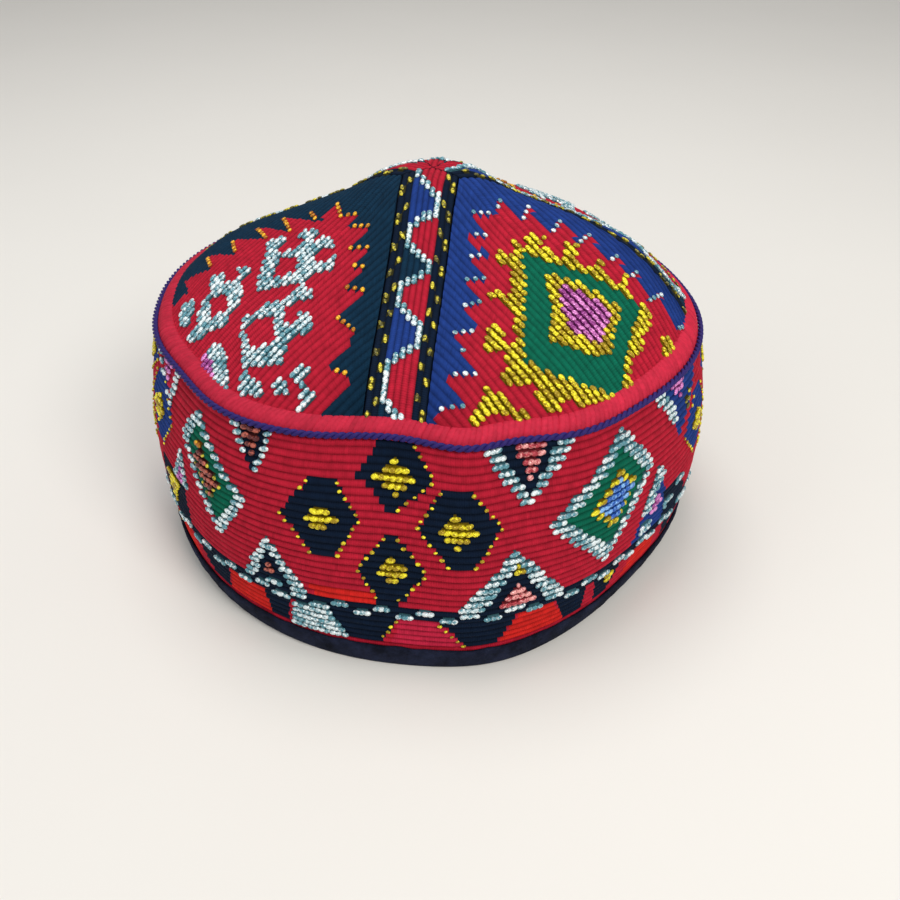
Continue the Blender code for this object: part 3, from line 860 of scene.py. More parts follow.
def floor_paint(name, shade):
    """Matt paint: even, with a trace of roller texture."""
    material, tree, shader = new_material(name, {"Roughness": 0.85, "Specular IOR Level": 0.2})
    place = add_node(tree, "ShaderNodeTexCoord")
    cloud = add_node(
        tree, "ShaderNodeTexNoise", {"Vector": place.outputs["Object"], "Scale": 9.0, "Detail": 3.0}
    )
    ramp = add_node(tree, "ShaderNodeValToRGB", {"Fac": cloud.outputs["Fac"]})
    low, high = ramp.color_ramp.elements
    low.color = (*(0.97 * c for c in shade), 1.0)
    high.color = (*shade, 1.0)
    tree.links.new(ramp.outputs["Color"], shader.inputs["Base Color"])
    return material


# ---------------------------------------------------------------- painting the ribs


def inside(outline, across, along):
    """Which points lie in a polygon, by counting the edges that each one is left of."""
    hits = np.zeros(np.shape(across), bool)
    corners = list(outline)
    for (ax, ay), (bx, by) in zip(corners, corners[1:] + corners[:1]):
        if ay == by:
            continue
        spans = (along >= min(ay, by)) & (along < max(ay, by))
        crossing = ax + (along - ay) * (bx - ax) / (by - ay)
        hits ^= spans & (across < crossing)
    return hits


def paint(kinds, shapes, across, along, where=True):
    for name, outline in shapes:
        kinds[inside(outline, across, along) & where] = KINDS.index(name)


# Half the width of the broken lines' stitches as charted, in millimetres.
BAND_DASH_HALF = 1.05
STRIP_DASH_HALF = 1.02


def band_kinds(degrees, depth):
    """The kind of thread at each place of the band."""
    kinds = np.full(np.shape(degrees), KINDS.index("crimson"))
    kinds[(depth > BORDER_TOP) & (depth < BORDER_FOOT)] = KINDS.index("navy_black")
    for chart, (first, last), (start, end) in QUARTERS:
        turned = (degrees - start) % 360 + start
        local = first + (turned - start) * (last - first) / (end - start)
        fits = (turned <= end) & ((depth < BORDER_TOP) | (depth > BORDER_FOOT))
        paint(kinds, chart, local, depth, fits)
    for middle, rise, ground in CLUSTERS:
        off = (degrees - middle + 180) % 360 - 180
        lifted = np.where(depth < BORDER_TOP, depth + rise, depth)
        shapes = [(ground if name == "navy_black" else name, outline) for name, outline in CLUSTER]
        paint(kinds, shapes, off, lifted)
    for row, start, dash, pitch in DASH_ROWS:
        on = (np.abs(depth - row) < BAND_DASH_HALF) & ((degrees - start) % pitch < dash)
        kinds[on] = KINDS.index("silver")
    return kinds


def strip_kinds(sideways, along):
    """The kind of thread at each place of a crown strip, in millimetres."""
    points = np.array(ZIGZAG)
    middle = np.interp(along, points[:, 1], points[:, 0])
    kinds = np.where(sideways > middle, KINDS.index("crimson"), 0)
    reached = np.zeros(np.shape(along), bool)
    for name, foot in LEFT_TRIANGLES:
        here = (sideways <= middle) & (along < foot) & ~reached
        kinds[here] = KINDS.index(name)
        reached |= here
    near = np.full(np.shape(along), 99.0)
    for (ax, ay), (bx, by) in zip(ZIGZAG, ZIGZAG[1:]):
        run = (bx - ax) ** 2 + (by - ay) ** 2
        share = np.clip(((sideways - ax) * (bx - ax) + (along - ay) * (by - ay)) / run, 0, 1)
        away = np.hypot(sideways - ax - share * (bx - ax), along - ay - share * (by - ay))
        near = np.minimum(near, away)
    kinds[near < ZIGZAG_WIDTH / 2] = KINDS.index("silver")
    kinds[np.abs(sideways) > STRIP_FIELD] = KINDS.index("navy_black")
    for row, start, dash, pitch in STRIP_DASHES:
        on = (np.abs(sideways - row) < STRIP_DASH_HALF) & ((along - start) % pitch < dash)
        kinds[on] = KINDS.index("dull_gold")
    return kinds


# ---------------------------------------------------------------- ribbed pieces

# Across a rib: share of its width, share of its relief over the middle of groove and crest.
RIB_SECTION = ((0.0, -0.66), (0.2, 0.1), (0.5, 0.38), (0.8, 0.1))
LINES = len(RIB_SECTION)
CREST = 2
CRESTS = slice(CREST, None, LINES)
# How much a rib's crest is painted lighter, as a painted highlight, and how much a wall's cut edge
# is painted darker, as painted shade between the pieces, as shares of the thread's colour.
CREST_HIGHLIGHT = 1.14
CUT_EDGE_SHADOW = 0.7
# A run of metal under this share of a stitch gets none.
SHORTEST_RUN = 0.45
# The single stitches of the strips' broken lines are smaller than the others.
DASH_SIZE = 0.72
# Where each metal's stitches go: place, run, normal, how much longer, how much larger.
seeds = {name: [] for name in METALS}


def waves(rng, rows, columns, cycles, closed):
    """Smooth noise along each row, between about -1 and 1."""
    at = np.linspace(0, 1, columns, endpoint=not closed)
    total = np.zeros((rows, columns))
    for cycle in cycles:
        phase = rng.uniform(0, math.tau, (rows, 1))
        total += np.sin(math.tau * cycle * at + phase) * rng.uniform(0.5, 1.0, (rows, 1))
    return total / len(cycles)


def rib_lines(ribs):
    """The share of every line across the ribs, and its share of the relief."""
    shares = [(rib + share) / ribs for rib in range(ribs) for share, _ in RIB_SECTION] + [1.0]
    relief = [lift for _ in range(ribs) for _, lift in RIB_SECTION] + [RIB_SECTION[0][1]]
    return np.array(shares), np.array(relief)


def store(mesh, name, kind, values, domain="POINT"):
    """Keeps values on a mesh as a named attribute."""
    field = {"FLOAT": "value", "FLOAT_VECTOR": "vector", "FLOAT_COLOR": "color"}[kind]
    layer = mesh.attributes.new(name, kind, domain)
    layer.data.foreach_set(field, np.asarray(values, np.float32).ravel())


def linked(name, mesh):
    """A new object of a mesh, in the scene."""
    piece = bpy.data.objects.new(name, mesh)
    bpy.context.scene.collection.objects.link(piece)
    return piece


def add_piece(name, points, faces, material, shades=None, lay=None):
    """A mesh object at the origin. Shades and lay are given for each corner of each face."""
    mesh = bpy.data.meshes.new(name)
    mesh.from_pydata(points, [], faces)
    mesh.shade_smooth()
    mesh.materials.append(material)
    if shades is not None:
        store(mesh, "thread_colour", "FLOAT_COLOR", shades, "CORNER")
    if lay is not None:
        layer = mesh.uv_layers.new(name="thread_lay")
        layer.data.foreach_set("uv", np.asarray(lay, np.float32).ravel())
    return linked(name, mesh)


def seat(piece, node):
    """The piece rides on the cap and stands for its CAD node, which it hides."""
    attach(piece, "root")
    if node:
        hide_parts(node)


def grid_quads(rows, columns, closed, first=0):
    """Corner numbers of a grid's faces, [row][column][corner]."""
    across = np.arange(rows - 1)[:, None]
    along = np.arange(columns if closed else columns - 1)[None, :]
    after = (along + 1) % columns
    a, b = across * columns, (across + 1) * columns
    return first + np.stack([a + along, b + along, b + after, a + after], axis=-1)


def bedded(kinds, closed):
    """The kinds with each metal run a cell shorter at both ends, so no painted shadow of a bed
    shows past a stitch.
    """
    metal = kinds >= len(SILKS)
    before, after = np.roll(kinds, 1, axis=1), np.roll(kinds, -1, axis=1)
    if not closed:
        before[:, 0], after[:, -1] = kinds[:, 0], kinds[:, -1]
    beds = np.where(metal & (before < len(SILKS)), before, kinds)
    return np.where(metal & (after < len(SILKS)), after, beds)


def ribbed_piece(
    name, surface, normals, relief, kinds, material, wall, closed, rng, groove, hem,
    inner_lines=None,
):
    """A wall with ribs on its outside.

    surface and normals are [line][column], relief is [line][column] and kinds [rib][cell].
    groove is how bright the grooves are painted, as painted shade between the ribs, hem the kind
    that the cut edges show.
    """
    lines, columns = surface.shape[:2]
    outer = surface + normals * relief[..., None]
    kept = np.unique(np.linspace(0, lines - 1, inner_lines or lines).round().astype(int))
    inner = (surface - normals * wall)[kept]
    under = lines * columns
    quads = grid_quads(lines, columns, closed)
    back = grid_quads(len(kept), columns, closed, under)[..., ::-1].reshape(-1, 4)

    # the edges that join the outside to the inside, one line of quads along each border
    last_out, last_in = (lines - 1) * columns, under + (len(kept) - 1) * columns
    borders = [(np.arange(columns), under + np.arange(columns))]
    borders.append((last_out + np.arange(columns)[::-1], last_in + np.arange(columns)[::-1]))
    if not closed:
        down = np.arange(lines) * columns
        borders.append((down[::-1], under + down[::-1]))
        borders.append((down + columns - 1, under + down + columns - 1))
    edges = []
    for out, into in borders:
        after_out, after_in = np.roll(out, -1), np.roll(into, -1)
        keep = slice(None) if closed else slice(0, -1)
        edges.append(np.stack([out, after_out, after_in, into], axis=-1)[keep])
    edges = np.concatenate(edges)

    table = kind_colours()
    cells = quads.shape[1]
    ribs = kinds.shape[0]
    shade = 1 + 0.10 * waves(rng, ribs, cells, (7, 19, 43), closed)
    shade = shade + 0.05 * rng.standard_normal((ribs, cells))
    of_rib = table[bedded(kinds[:, :cells], closed)] * np.clip(shade, 0.6, 1.4)[..., None]
    corners = np.repeat(np.repeat(of_rib, LINES, axis=0)[:, :, None, :], 4, axis=2)
    upper, lower = slice(0, None, LINES), slice(LINES - 1, None, LINES)
    above, below = slice(CREST - 1, None, LINES), slice(CREST, None, LINES)
    # Painted highlight: the lines on either side of each rib's crest are lighter.
    corners[above, :, 1:3] *= CREST_HIGHLIGHT
    corners[below, :, 0] *= CREST_HIGHLIGHT
    corners[below, :, 3] *= CREST_HIGHLIGHT
    # Painted shade: the grooves between ribs are darker, more in some places than in others.
    groove_shadow = groove + 0.16 * waves(rng, ribs, cells + 1, (13, 31, 53, 89), closed)
    groove_shadow = np.clip(groove_shadow, 0.2, 0.95)[..., None]
    corners[upper, :, 0] *= groove_shadow[:, :-1]
    corners[upper, :, 3] *= groove_shadow[:, 1:]
    corners[lower, :, 1] *= groove_shadow[:, :-1]
    corners[lower, :, 2] *= groove_shadow[:, 1:]
    lining = np.tile(np.array(tuple(colours().cotton)), (len(back) * 4, 1))
    # Painted shade: the cut edges between pieces show the hem's thread, darkened.
    cut = np.tile(CUT_EDGE_SHADOW * table[KINDS.index(hem)], (len(edges) * 4, 1))
    shades = np.concatenate([corners.reshape(-1, 3), lining, cut])
    shades = np.concatenate([shades, np.ones((len(shades), 1))], axis=1)

    step = np.linalg.norm(np.diff(surface[lines // 2], axis=0), axis=-1).mean()
    line_of = np.concatenate([np.repeat(np.arange(lines), columns), np.repeat(kept, columns)])
    column_of = np.tile(np.arange(columns), lines + len(kept))
    faces = np.concatenate([quads.reshape(-1, 4), back, edges])
    column = column_of[faces]
    wrapped = (column == 0) & (column.max(axis=1, keepdims=True) == columns - 1) & closed
    around, across = column + columns * wrapped, line_of[faces]
    lay = np.stack([around * step, across * sizes().rib_pitch / LINES], axis=-1)
    middle = lines // 2, columns // 2
    a, b, d = outer[middle], outer[middle[0] + 1, middle[1]], outer[middle[0], middle[1] + 1]
    if np.dot(np.cross(b - a, d - a), normals[middle]) < 0:
        faces = faces[:, ::-1]
        shades = shades.reshape(-1, 4, 4)[:, ::-1].reshape(-1, 4)
        lay = lay[:, ::-1]
    piece = add_piece(
        name, np.concatenate([outer.reshape(-1, 3), inner.reshape(-1, 3)]), faces.tolist(),
        material, shades, lay,
    )
    sow_runs(outer, normals, kinds[:, :cells], closed, rng)
    return piece


def sow_runs(outer, normals, kinds, closed, rng):
    """Puts metal stitches end to end along every run of metal on every rib."""
    pitch = sizes().stitch_pitch
    for rib, row in enumerate(kinds):
        crest, out = outer[rib * LINES + CREST], normals[rib * LINES + CREST]
        marks = np.concatenate([[-1], row, [-1]])
        changes = np.flatnonzero(np.diff(marks))
        for start, end in zip(changes, changes[1:]):
            if row[start] < len(SILKS):
                continue
            columns = np.arange(start, end + 1) % len(crest)
            path, facing = crest[columns], out[columns]
            steps = np.linalg.norm(np.diff(path, axis=0), axis=-1)
            measured = np.concatenate([[0], np.cumsum(steps)])
            whole = measured[-1]
            if whole < SHORTEST_RUN * pitch:
                continue
            metal = KINDS[row[start]]
            single = metal == "dull_gold" and whole < 2 * pitch
            count = 1 if single else max(round(whole / pitch), 1)
            size = DASH_SIZE if metal == "dull_gold" else 1.0
            for i in range(count):
                at = (i + 0.5 + rng.uniform(-0.1, 0.1)) / count * whole
                place = [np.interp(at, measured, path[:, axis]) for axis in range(3)]
                normal = [np.interp(at, measured, facing[:, axis]) for axis in range(3)]
                run = path[-1] - path[0]
                seeds[metal].append((place, run, normal, whole / count / pitch, size))


# How uneven the ribs' relief is, as a share of it, and how uneven the wall under them.
RELIEF_SPREAD = 0.3
WALL_SPREAD = 0.00006


def relief_of(shares, amount, columns, rng, closed):
    """How far each line stands off the wall, with the small unevenness of handwork."""
    lift = np.repeat((shares * amount)[:, None], columns, axis=1)
    lift = lift * (1 + RELIEF_SPREAD * waves(rng, len(shares), columns, (7, 17, 41), closed))
    return lift + WALL_SPREAD * waves(rng, len(shares), columns, (11, 29, 61), closed)


def frayed(rng, cells_shape, amount):
    """Small steps in a chart's outline from rib to rib."""
    return rng.uniform(-amount, amount, (cells_shape[0], 1)) + rng.uniform(
        -amount, amount, cells_shape
    ) * 0.5


# ---------------------------------------------------------------- band

BAND_RIBS = 31
BAND_COLUMNS = 700
BAND_TOP = 0.0718
BAND_FOOT = 0.0064
# Lines across the lining, which is plain and needs few.
INNER_LINES = 5
# The band's first column stands behind the right side.
BAND_START = math.radians(120)
# How bright the band's grooves are painted, as painted shade between the ribs.
BAND_GROOVE_SHADOW = 0.58
BAND_SWAY = 0.00022
# How far the band's chart steps from rib to rib, in degrees.
BAND_FRAY = 0.22


def settle():
    """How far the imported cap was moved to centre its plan, found from the band's box."""
    azimuth = np.radians(np.arange(0, 360, 4.0))
    heights = np.linspace(BINDING_THICKNESS + GAP, SEAM_HEIGHT - GAP, 6)
    points = band_points(azimuth[None, :], heights[:, None]).reshape(-1, 3)
    middle = (points.min(axis=0) + points.max(axis=0)) / 2
    low, high = (np.array(corner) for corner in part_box("side_band"))
    moved = (low + high) / 2 - middle
    return np.array([moved[0], moved[1], 0.0])


MOVED = settle()


def build_band():
    rng = np.random.default_rng(11)
    material = laid_silk("mercerised cotton on the band")
    shares, relief = rib_lines(BAND_RIBS)
    columns = BAND_COLUMNS
    azimuth = BAND_START + np.linspace(0, math.tau, columns, endpoint=False)
    height = BAND_TOP - shares * (BAND_TOP - BAND_FOOT)
    sway = BAND_SWAY * waves(rng, len(shares), columns, (9, 23, 37, 71), True)
    sway[0] = sway[-1] = 0
    heights = height[:, None] + sway
    around = np.broadcast_to(azimuth, heights.shape)
    surface = band_points(around, heights) + MOVED
    normals = band_facing(around, heights)
    lift = relief_of(relief, sizes().band_relief, columns, rng, True)
    middles = (np.arange(BAND_RIBS) + 0.5) / BAND_RIBS
    depth = (SEAM_HEIGHT - BAND_TOP + middles * (BAND_TOP - BAND_FOOT)) / MM
    degrees = np.degrees(azimuth + math.pi / columns)
    degrees, depth = np.meshgrid(degrees, depth)
    kinds = band_kinds(degrees + frayed(rng, degrees.shape, BAND_FRAY), depth)
    piece = ribbed_piece(
        "band_silk", surface, normals, lift, kinds, material, BAND_WALL, True, rng, BAND_GROOVE_SHADOW,
        "crimson", INNER_LINES,
    )
    seat(piece, "side_band")
    outer = surface + normals * lift[..., None]
    sow_band_beads(azimuth, outer[CRESTS], normals[CRESTS], depth[:, 0], rng)


def sow_band_beads(azimuth, crests, normals, depths, rng):
    """Puts one small gold stitch on every rib that an edge of a cluster's diamonds crosses."""
    turns = np.degrees(azimuth)
    for middle, rise, _ in CLUSTERS:
        for (ax, ay), (bx, by) in CLUSTER_BEADS:
            for rib, depth in enumerate(depths + rise * (depths < BORDER_TOP)):
                if not min(ay, by) < depth < max(ay, by):
                    continue
                off = ax + (depth - ay) * (bx - ax) / (by - ay) + middle
                column = round((off - turns[0]) / (turns[1] - turns[0])) % len(azimuth)
                place = crests[rib, column]
                run = crests[rib, (column + 1) % len(azimuth)] - place
                size = rng.uniform(0.5, 0.72)
                seeds["gold"].append((place, run, normals[rib, column], 0.9, size))


# ---------------------------------------------------------------- crown

STRIP_RIBS = 9
# Half of a strip's width on its chart, in millimetres.
STRIP_HALF_CHART = 9.25
STRIP_CELLS = 150
GORE_CELLS = 116
SHORTEST_RIB = 0.0009
# How bright the grooves between ribs are painted, as painted shade, as a share of the thread's
# colour.
STRIP_GROOVE_SHADOW = 0.55
GORE_GROOVE_SHADOW = 0.66
GORE_SWAY = 0.00012
# How far a chart's outline steps from rib to rib, in millimetres.
CROWN_FRAY = 0.25
# A bead's length and size as shares of a stitch's, and how far past its row's ends one may sit.
BEAD_SIZE = (0.8, 0.85)
BEAD_OVERSHOOT = 0.02
# How far the gores and strips run under the roll.
TUCK = 0.004


def build_strips():
    material = laid_silk("mercerised cotton on the strips")
    for k, (name, _, _) in enumerate(STRIPS):
        rng = np.random.default_rng(21 + k)
        shares, relief = rib_lines(STRIP_RIBS)
        columns = np.linspace(0, 1, STRIP_CELLS)
        start = np.array([mitre_reach(k, 2 * share - 1) for share in shares])[:, None]
        reach = start + (crown_edge_reach() + TUCK - start) * columns
        sideways = (2 * shares[:, None] - 1) * (strip_half_width(k, reach) - GAP / 2)
        azimuth = azimuth_off_strip(k, sideways, reach)
        surface = crown_points(azimuth, reach)
        normals = crown_facing(azimuth, reach)
        lift = relief_of(relief, sizes().crown_relief, STRIP_CELLS, rng, False)
        cells = (STRIP_RIBS, STRIP_CELLS)
        across = np.broadcast_to((2 * shares[CRESTS, None] - 1) * STRIP_HALF_CHART, cells)
        along = reach[CRESTS] * mean_crown_radius() / MM
        kinds = strip_kinds(across, along + frayed(rng, cells, CROWN_FRAY))
        piece = ribbed_piece(
            name + "_silk", surface + MOVED, normals, lift, kinds, material, CROWN_WALL, False, rng,
            STRIP_GROOVE_SHADOW, "navy_black",
        )
        seat(piece, name)


def gore_outline(k, middle):
    """Three edges of gore k on its chart, in metres: the left side, the right side and the base."""
    corner, edge = gore_corner_reach(k), crown_edge_reach() + TUCK
    reach = np.linspace(corner, edge, 240)
    left = azimuth_off_strip(k, strip_half_width(k, reach) + GAP / 2, reach)
    right = azimuth_off_strip(k + 1, -strip_half_width(k + 1, reach) - GAP / 2, reach)
    base = left[-1] + ((right[-1] - left[-1]) % math.tau) * np.linspace(0, 1, 240)
    sides = (left, reach), (right, reach), (base, np.full(240, edge))
    return [gore_chart_place(middle, crown_points(azimuth, at)) for azimuth, at in sides]


def build_gores():
    material = laid_silk("mercerised cotton on the gores")
    for k, (name, slot, middle, width, chart) in enumerate(GORES):
        rng = np.random.default_rng(31 + k)
        left, right, base = gore_outline(k, middle)
        low, high = base[0].min(), base[0].max()
        ribs = round((high - low) / sizes().rib_pitch)
        shares, relief = rib_lines(ribs)
        across = low + shares * (high - low)
        side_across = np.concatenate([left[0][::-1], right[0]])
        side_along = np.concatenate([left[1][::-1], right[1]])
        order = np.argsort(side_across)
        start = np.interp(across, side_across[order], side_along[order])
        order = np.argsort(base[0])
        end = np.interp(across, base[0][order], base[1][order])
        end = np.maximum(end, start + SHORTEST_RIB)
        columns = np.linspace(0, 1, GORE_CELLS)
        along = start[:, None] + (end - start)[:, None] * columns
        sway = GORE_SWAY * waves(rng, len(shares), GORE_CELLS, (5, 13, 23), False)
        sway[0] = sway[-1] = 0
        sideways = across[:, None] + sway * np.minimum(1, (end - start)[:, None] / 0.01)
        azimuth, reach = crown_place(*gore_plan(middle, sideways, along))
        surface = crown_points(azimuth, reach)
        normals = crown_facing(azimuth, reach)
        lift = relief_of(relief, sizes().crown_relief, GORE_CELLS, rng, False)
        chart_across = np.repeat(across[CRESTS, None] / width, GORE_CELLS, axis=1) / MM
        chart_along = along[CRESTS] / MM
        ground, shapes, metal, beads = CHARTS[chart]
        kinds = np.full(chart_along.shape, KINDS.index(ground))
        paint(kinds, shapes, chart_across, chart_along + frayed(rng, chart_along.shape, CROWN_FRAY))
        piece = ribbed_piece(
            name + "_silk", surface + MOVED, normals, lift, kinds, material, CROWN_WALL, False, rng,
            GORE_GROOVE_SHADOW, "navy_black",
        )
        seat(piece, name)
        outer = surface + MOVED + normals * lift[..., None]
        sow_beads(metal, beads, outer, normals, chart_across, chart_along)


def sow_beads(metal, beads, outer, normals, across, along):
    """Puts one metal stitch on every rib that a bead row crosses."""
    for (ax, ay), (bx, by) in beads:
        for rib, (row_across, row_along) in enumerate(zip(across, along)):
            share = (row_across[0] - ax) / (bx - ax)
            if not -BEAD_OVERSHOOT <= share <= 1 + BEAD_OVERSHOOT:
                continue
            at = ay + share * (by - ay)
            if not row_along[0] < at < row_along[-1]:
                continue
            line = rib * LINES + CREST
            columns = np.arange(outer.shape[1])
            column = np.interp(at, row_along, columns)
            place = [np.interp(column, columns, outer[line, :, axis]) for axis in range(3)]
            normal = [np.interp(column, columns, normals[line, :, axis]) for axis in range(3)]
            run = outer[line, -1] - outer[line, 0]
            seeds[metal].append((place, run, normal, *BEAD_SIZE))


# ---------------------------------------------------------------- metal stitches

STITCH_ROUND = 8
STITCH_RINGS = 5
STITCH_LIFT = 0.0002
# A stitch leans a little off its rib, in radians.
STITCH_LEAN = 0.22
STITCH_LEAN_SPREAD = 0.2
# How much brighter or duller than the middle tint a stitch may be.
STITCH_TINT = 0.14
STITCH_UNEVENNESS = 0.09


def new_tree(name, **inputs):
    """A Geometry Nodes tree with its named inputs, and the node that gives them."""
    tree = bpy.data.node_groups.new(name, "GeometryNodeTree")
    tree.is_modifier = True
    face = tree.interface
    face.new_socket("Geometry", in_out="INPUT", socket_type="NodeSocketGeometry")
    for label, kind in {**inputs, "Material": "Material"}.items():
        face.new_socket(label, in_out="INPUT", socket_type="NodeSocket" + kind)
    face.new_socket("Geometry", in_out="OUTPUT", socket_type="NodeSocketGeometry")
    return tree, add_node(tree, "NodeGroupInput")


def stitch_tree(name):
    """Nodes that put one plump stitch at every seed, turned as the seed says."""
    tree, entry = new_tree(name, Length="Float", Width="Float", Height="Float", Unevenness="Float")
    turn, stretch, size = (
        add_node(tree, "GeometryNodeInputNamedAttribute", {"Name": label}, data_type=kind)
        for label, kind in (
            ("stitch_turn", "FLOAT_VECTOR"), ("stitch_stretch", "FLOAT"), ("stitch_size", "FLOAT"),
        )
    )
    rotation = add_node(tree, "FunctionNodeEulerToRotation", {"Euler": turn.outputs["Attribute"]})
    ball = add_node(
        tree, "GeometryNodeMeshUVSphere",
        {"Segments": STITCH_ROUND, "Rings": STITCH_RINGS, "Radius": 0.5},
    )
    lying = add_node(
        tree, "GeometryNodeTransform",
        {"Geometry": ball.outputs["Mesh"], "Rotation": (0, math.pi / 2, 0)},
    )
    low, high = (
        add_node(
            tree, "ShaderNodeMath", {0: 1.0, 1: entry.outputs["Unevenness"]}, operation=operation
        )
        for operation in ("SUBTRACT", "ADD")
    )
    sizes_of = []
    for number, label in enumerate(("Length", "Width", "Height")):
        uneven = add_node(
            tree, "FunctionNodeRandomValue",
            {2: low.outputs[0], 3: high.outputs[0], "Seed": 5 + number}, data_type="FLOAT",
        )
        sizes_of.append(add_node(
            tree, "ShaderNodeMath", {0: entry.outputs[label], 1: uneven.outputs[1]},
            operation="MULTIPLY",
        ))
    longer = add_node(
        tree, "ShaderNodeMath", {0: sizes_of[0].outputs[0], 1: stretch.outputs["Attribute"]},
        operation="MULTIPLY",
    )
    scale = add_node(
        tree, "ShaderNodeCombineXYZ",
        {"X": longer.outputs[0], "Y": sizes_of[1].outputs[0], "Z": sizes_of[2].outputs[0]},
    )
    sized = add_node(
        tree, "ShaderNodeVectorMath",
        {0: scale.outputs["Vector"], "Scale": size.outputs["Attribute"]},
        operation="SCALE",
    )
    placed = add_node(
        tree, "GeometryNodeInstanceOnPoints",
        {"Points": entry.outputs["Geometry"], "Instance": lying.outputs["Geometry"],
         "Rotation": rotation.outputs["Rotation"], "Scale": sized.outputs["Vector"]},
    )
    tint = add_node(
        tree, "FunctionNodeRandomValue", {2: -STITCH_TINT, 3: STITCH_TINT, "Seed": 9},
        data_type="FLOAT",
    )
    tinted = add_node(
        tree, "GeometryNodeStoreNamedAttribute",
        {"Geometry": placed.outputs["Instances"], "Name": "stitch_tint", "Value": tint.outputs[1]},
        data_type="FLOAT", domain="INSTANCE",
    )
    real = add_node(tree, "GeometryNodeRealizeInstances", {"Geometry": tinted.outputs["Geometry"]})
    smooth = add_node(tree, "GeometryNodeSetShadeSmooth", {"Geometry": real.outputs["Geometry"]})
    return dressed(tree, entry, smooth)


def dressed(tree, entry, last):
    """Ends a tree with the material, and gives the tree."""
    made = add_node(
        tree, "GeometryNodeSetMaterial",
        {"Geometry": last.outputs["Geometry"], "Material": entry.outputs["Material"]},
    )
    add_node(tree, "NodeGroupOutput", {"Geometry": made.outputs["Geometry"]})
    return tree


def baked(piece, tree, values):
    """Runs a tree on a piece and keeps the result as a plain mesh."""
    modifier = piece.modifiers.new("made", "NODES")
    modifier.node_group = tree
    for socket in tree.interface.items_tree:
        if socket.in_out == "INPUT" and socket.name in values:
            modifier[socket.identifier] = values[socket.name]
    bpy.context.view_layer.update()
    graph = bpy.context.evaluated_depsgraph_get()
    mesh = bpy.data.meshes.new_from_object(piece.evaluated_get(graph))
    piece.modifiers.clear()
    old, piece.data = piece.data, mesh
    bpy.data.meshes.remove(old)
    mesh.name = piece.name
    return piece


def build_stitches():
    rng = np.random.default_rng(61)
    tree = stitch_tree("metal stitches")
    for metal in METALS:
        if not seeds[metal]:
            raise RuntimeError(f"the band, strips and gores have sown no {metal} stitches")
        places, runs, normals, stretches, spans = map(np.array, zip(*seeds[metal]))
        up = normals / np.linalg.norm(normals, axis=1, keepdims=True)
        run = runs - (runs * up).sum(axis=1, keepdims=True) * up
        run /= np.maximum(np.linalg.norm(run, axis=1, keepdims=True), 1e-9)
        lean = rng.normal(STITCH_LEAN, STITCH_LEAN_SPREAD, (len(run), 1))
        run = np.cos(lean) * run + np.sin(lean) * np.cross(up, run)
        side = np.cross(up, run)
        turns = [
            Matrix(np.stack(axes, axis=1).tolist()).to_euler("XYZ") for axes in zip(run, side, up)
        ]
        mesh = bpy.data.meshes.new(metal + "_stitches")
        mesh.from_pydata((places + up * STITCH_LIFT).tolist(), [], [])
        store(mesh, "stitch_turn", "FLOAT_VECTOR", turns)
        store(mesh, "stitch_stretch", "FLOAT", stretches)
        store(mesh, "stitch_size", "FLOAT", spans)
        piece = linked(metal + "_stitches", mesh)
        bright, body = (tuple(getattr(colours(), metal + end)) for end in ("", "_body"))
        material = metal_thread(metal + " foil thread", bright, body)
        baked(piece, tree, {
            "Length": sizes().stitch_length, "Width": sizes().stitch_width,
            "Height": sizes().stitch_height, "Unevenness": STITCH_UNEVENNESS,
            "Material": material,
        })
        seat(piece, None)


# ---------------------------------------------------------------- threads that follow lines


def thread_tree(name):
    """Nodes that turn lines into round threads of a radius, times each point's thread_radius."""
    tree, entry = new_tree(name, Radius="Float", Sides="Int")
    line = add_node(tree, "GeometryNodeMeshToCurve", {"Mesh": entry.outputs["Geometry"]})
    share = add_node(
        tree, "GeometryNodeInputNamedAttribute", {"Name": "thread_radius"}, data_type="FLOAT"
    )
    profile = add_node(
        tree, "GeometryNodeCurvePrimitiveCircle",
        {"Resolution": entry.outputs["Sides"], "Radius": entry.outputs["Radius"]},
    )
    sized = add_node(
        tree, "GeometryNodeSetCurveRadius",
        {"Curve": line.outputs["Curve"], "Radius": share.outputs["Attribute"]},
    )
    tube = add_node(
        tree, "GeometryNodeCurveToMesh",
        {"Curve": sized.outputs["Curve"], "Profile Curve": profile.outputs["Curve"],
         "Fill Caps": True},
    )
    if "Scale" in tube.inputs:
        tree.links.new(share.outputs["Attribute"], tube.inputs["Scale"])
    smooth = add_node(tree, "GeometryNodeSetShadeSmooth", {"Geometry": tube.outputs["Mesh"]})
    real = add_node(tree, "GeometryNodeRealizeInstances", {"Geometry": smooth.outputs["Geometry"]})
    return dressed(tree, entry, real)


def lines_piece(name, lines, radii, shades, closed):
    """An object of lines, [line][point], with the radius share and colour of each point."""
    count, steps = lines.shape[:2]
    first = np.arange(count * steps).reshape(count, steps)
    if closed:
        pairs = np.stack([first, np.roll(first, -1, axis=1)], axis=-1)
    else:
        pairs = np.stack([first[:, :-1], first[:, 1:]], axis=-1)
    mesh = bpy.data.meshes.new(name)
    mesh.from_pydata(lines.reshape(-1, 3).tolist(), pairs.reshape(-1, 2).tolist(), [])
    store(mesh, "thread_radius", "FLOAT", radii)
    values = np.concatenate([shades.reshape(-1, 3), np.ones((count * steps, 1))], axis=1)
    store(mesh, "thread_colour", "FLOAT_COLOR", values)
    return linked(name, mesh)


# A strand changes its shade over about 1.4 mm, and its fibres are about 0.4 mm long.
STRAND_CLOUD = 700.0
STRAND_FIBRE = 2400.0


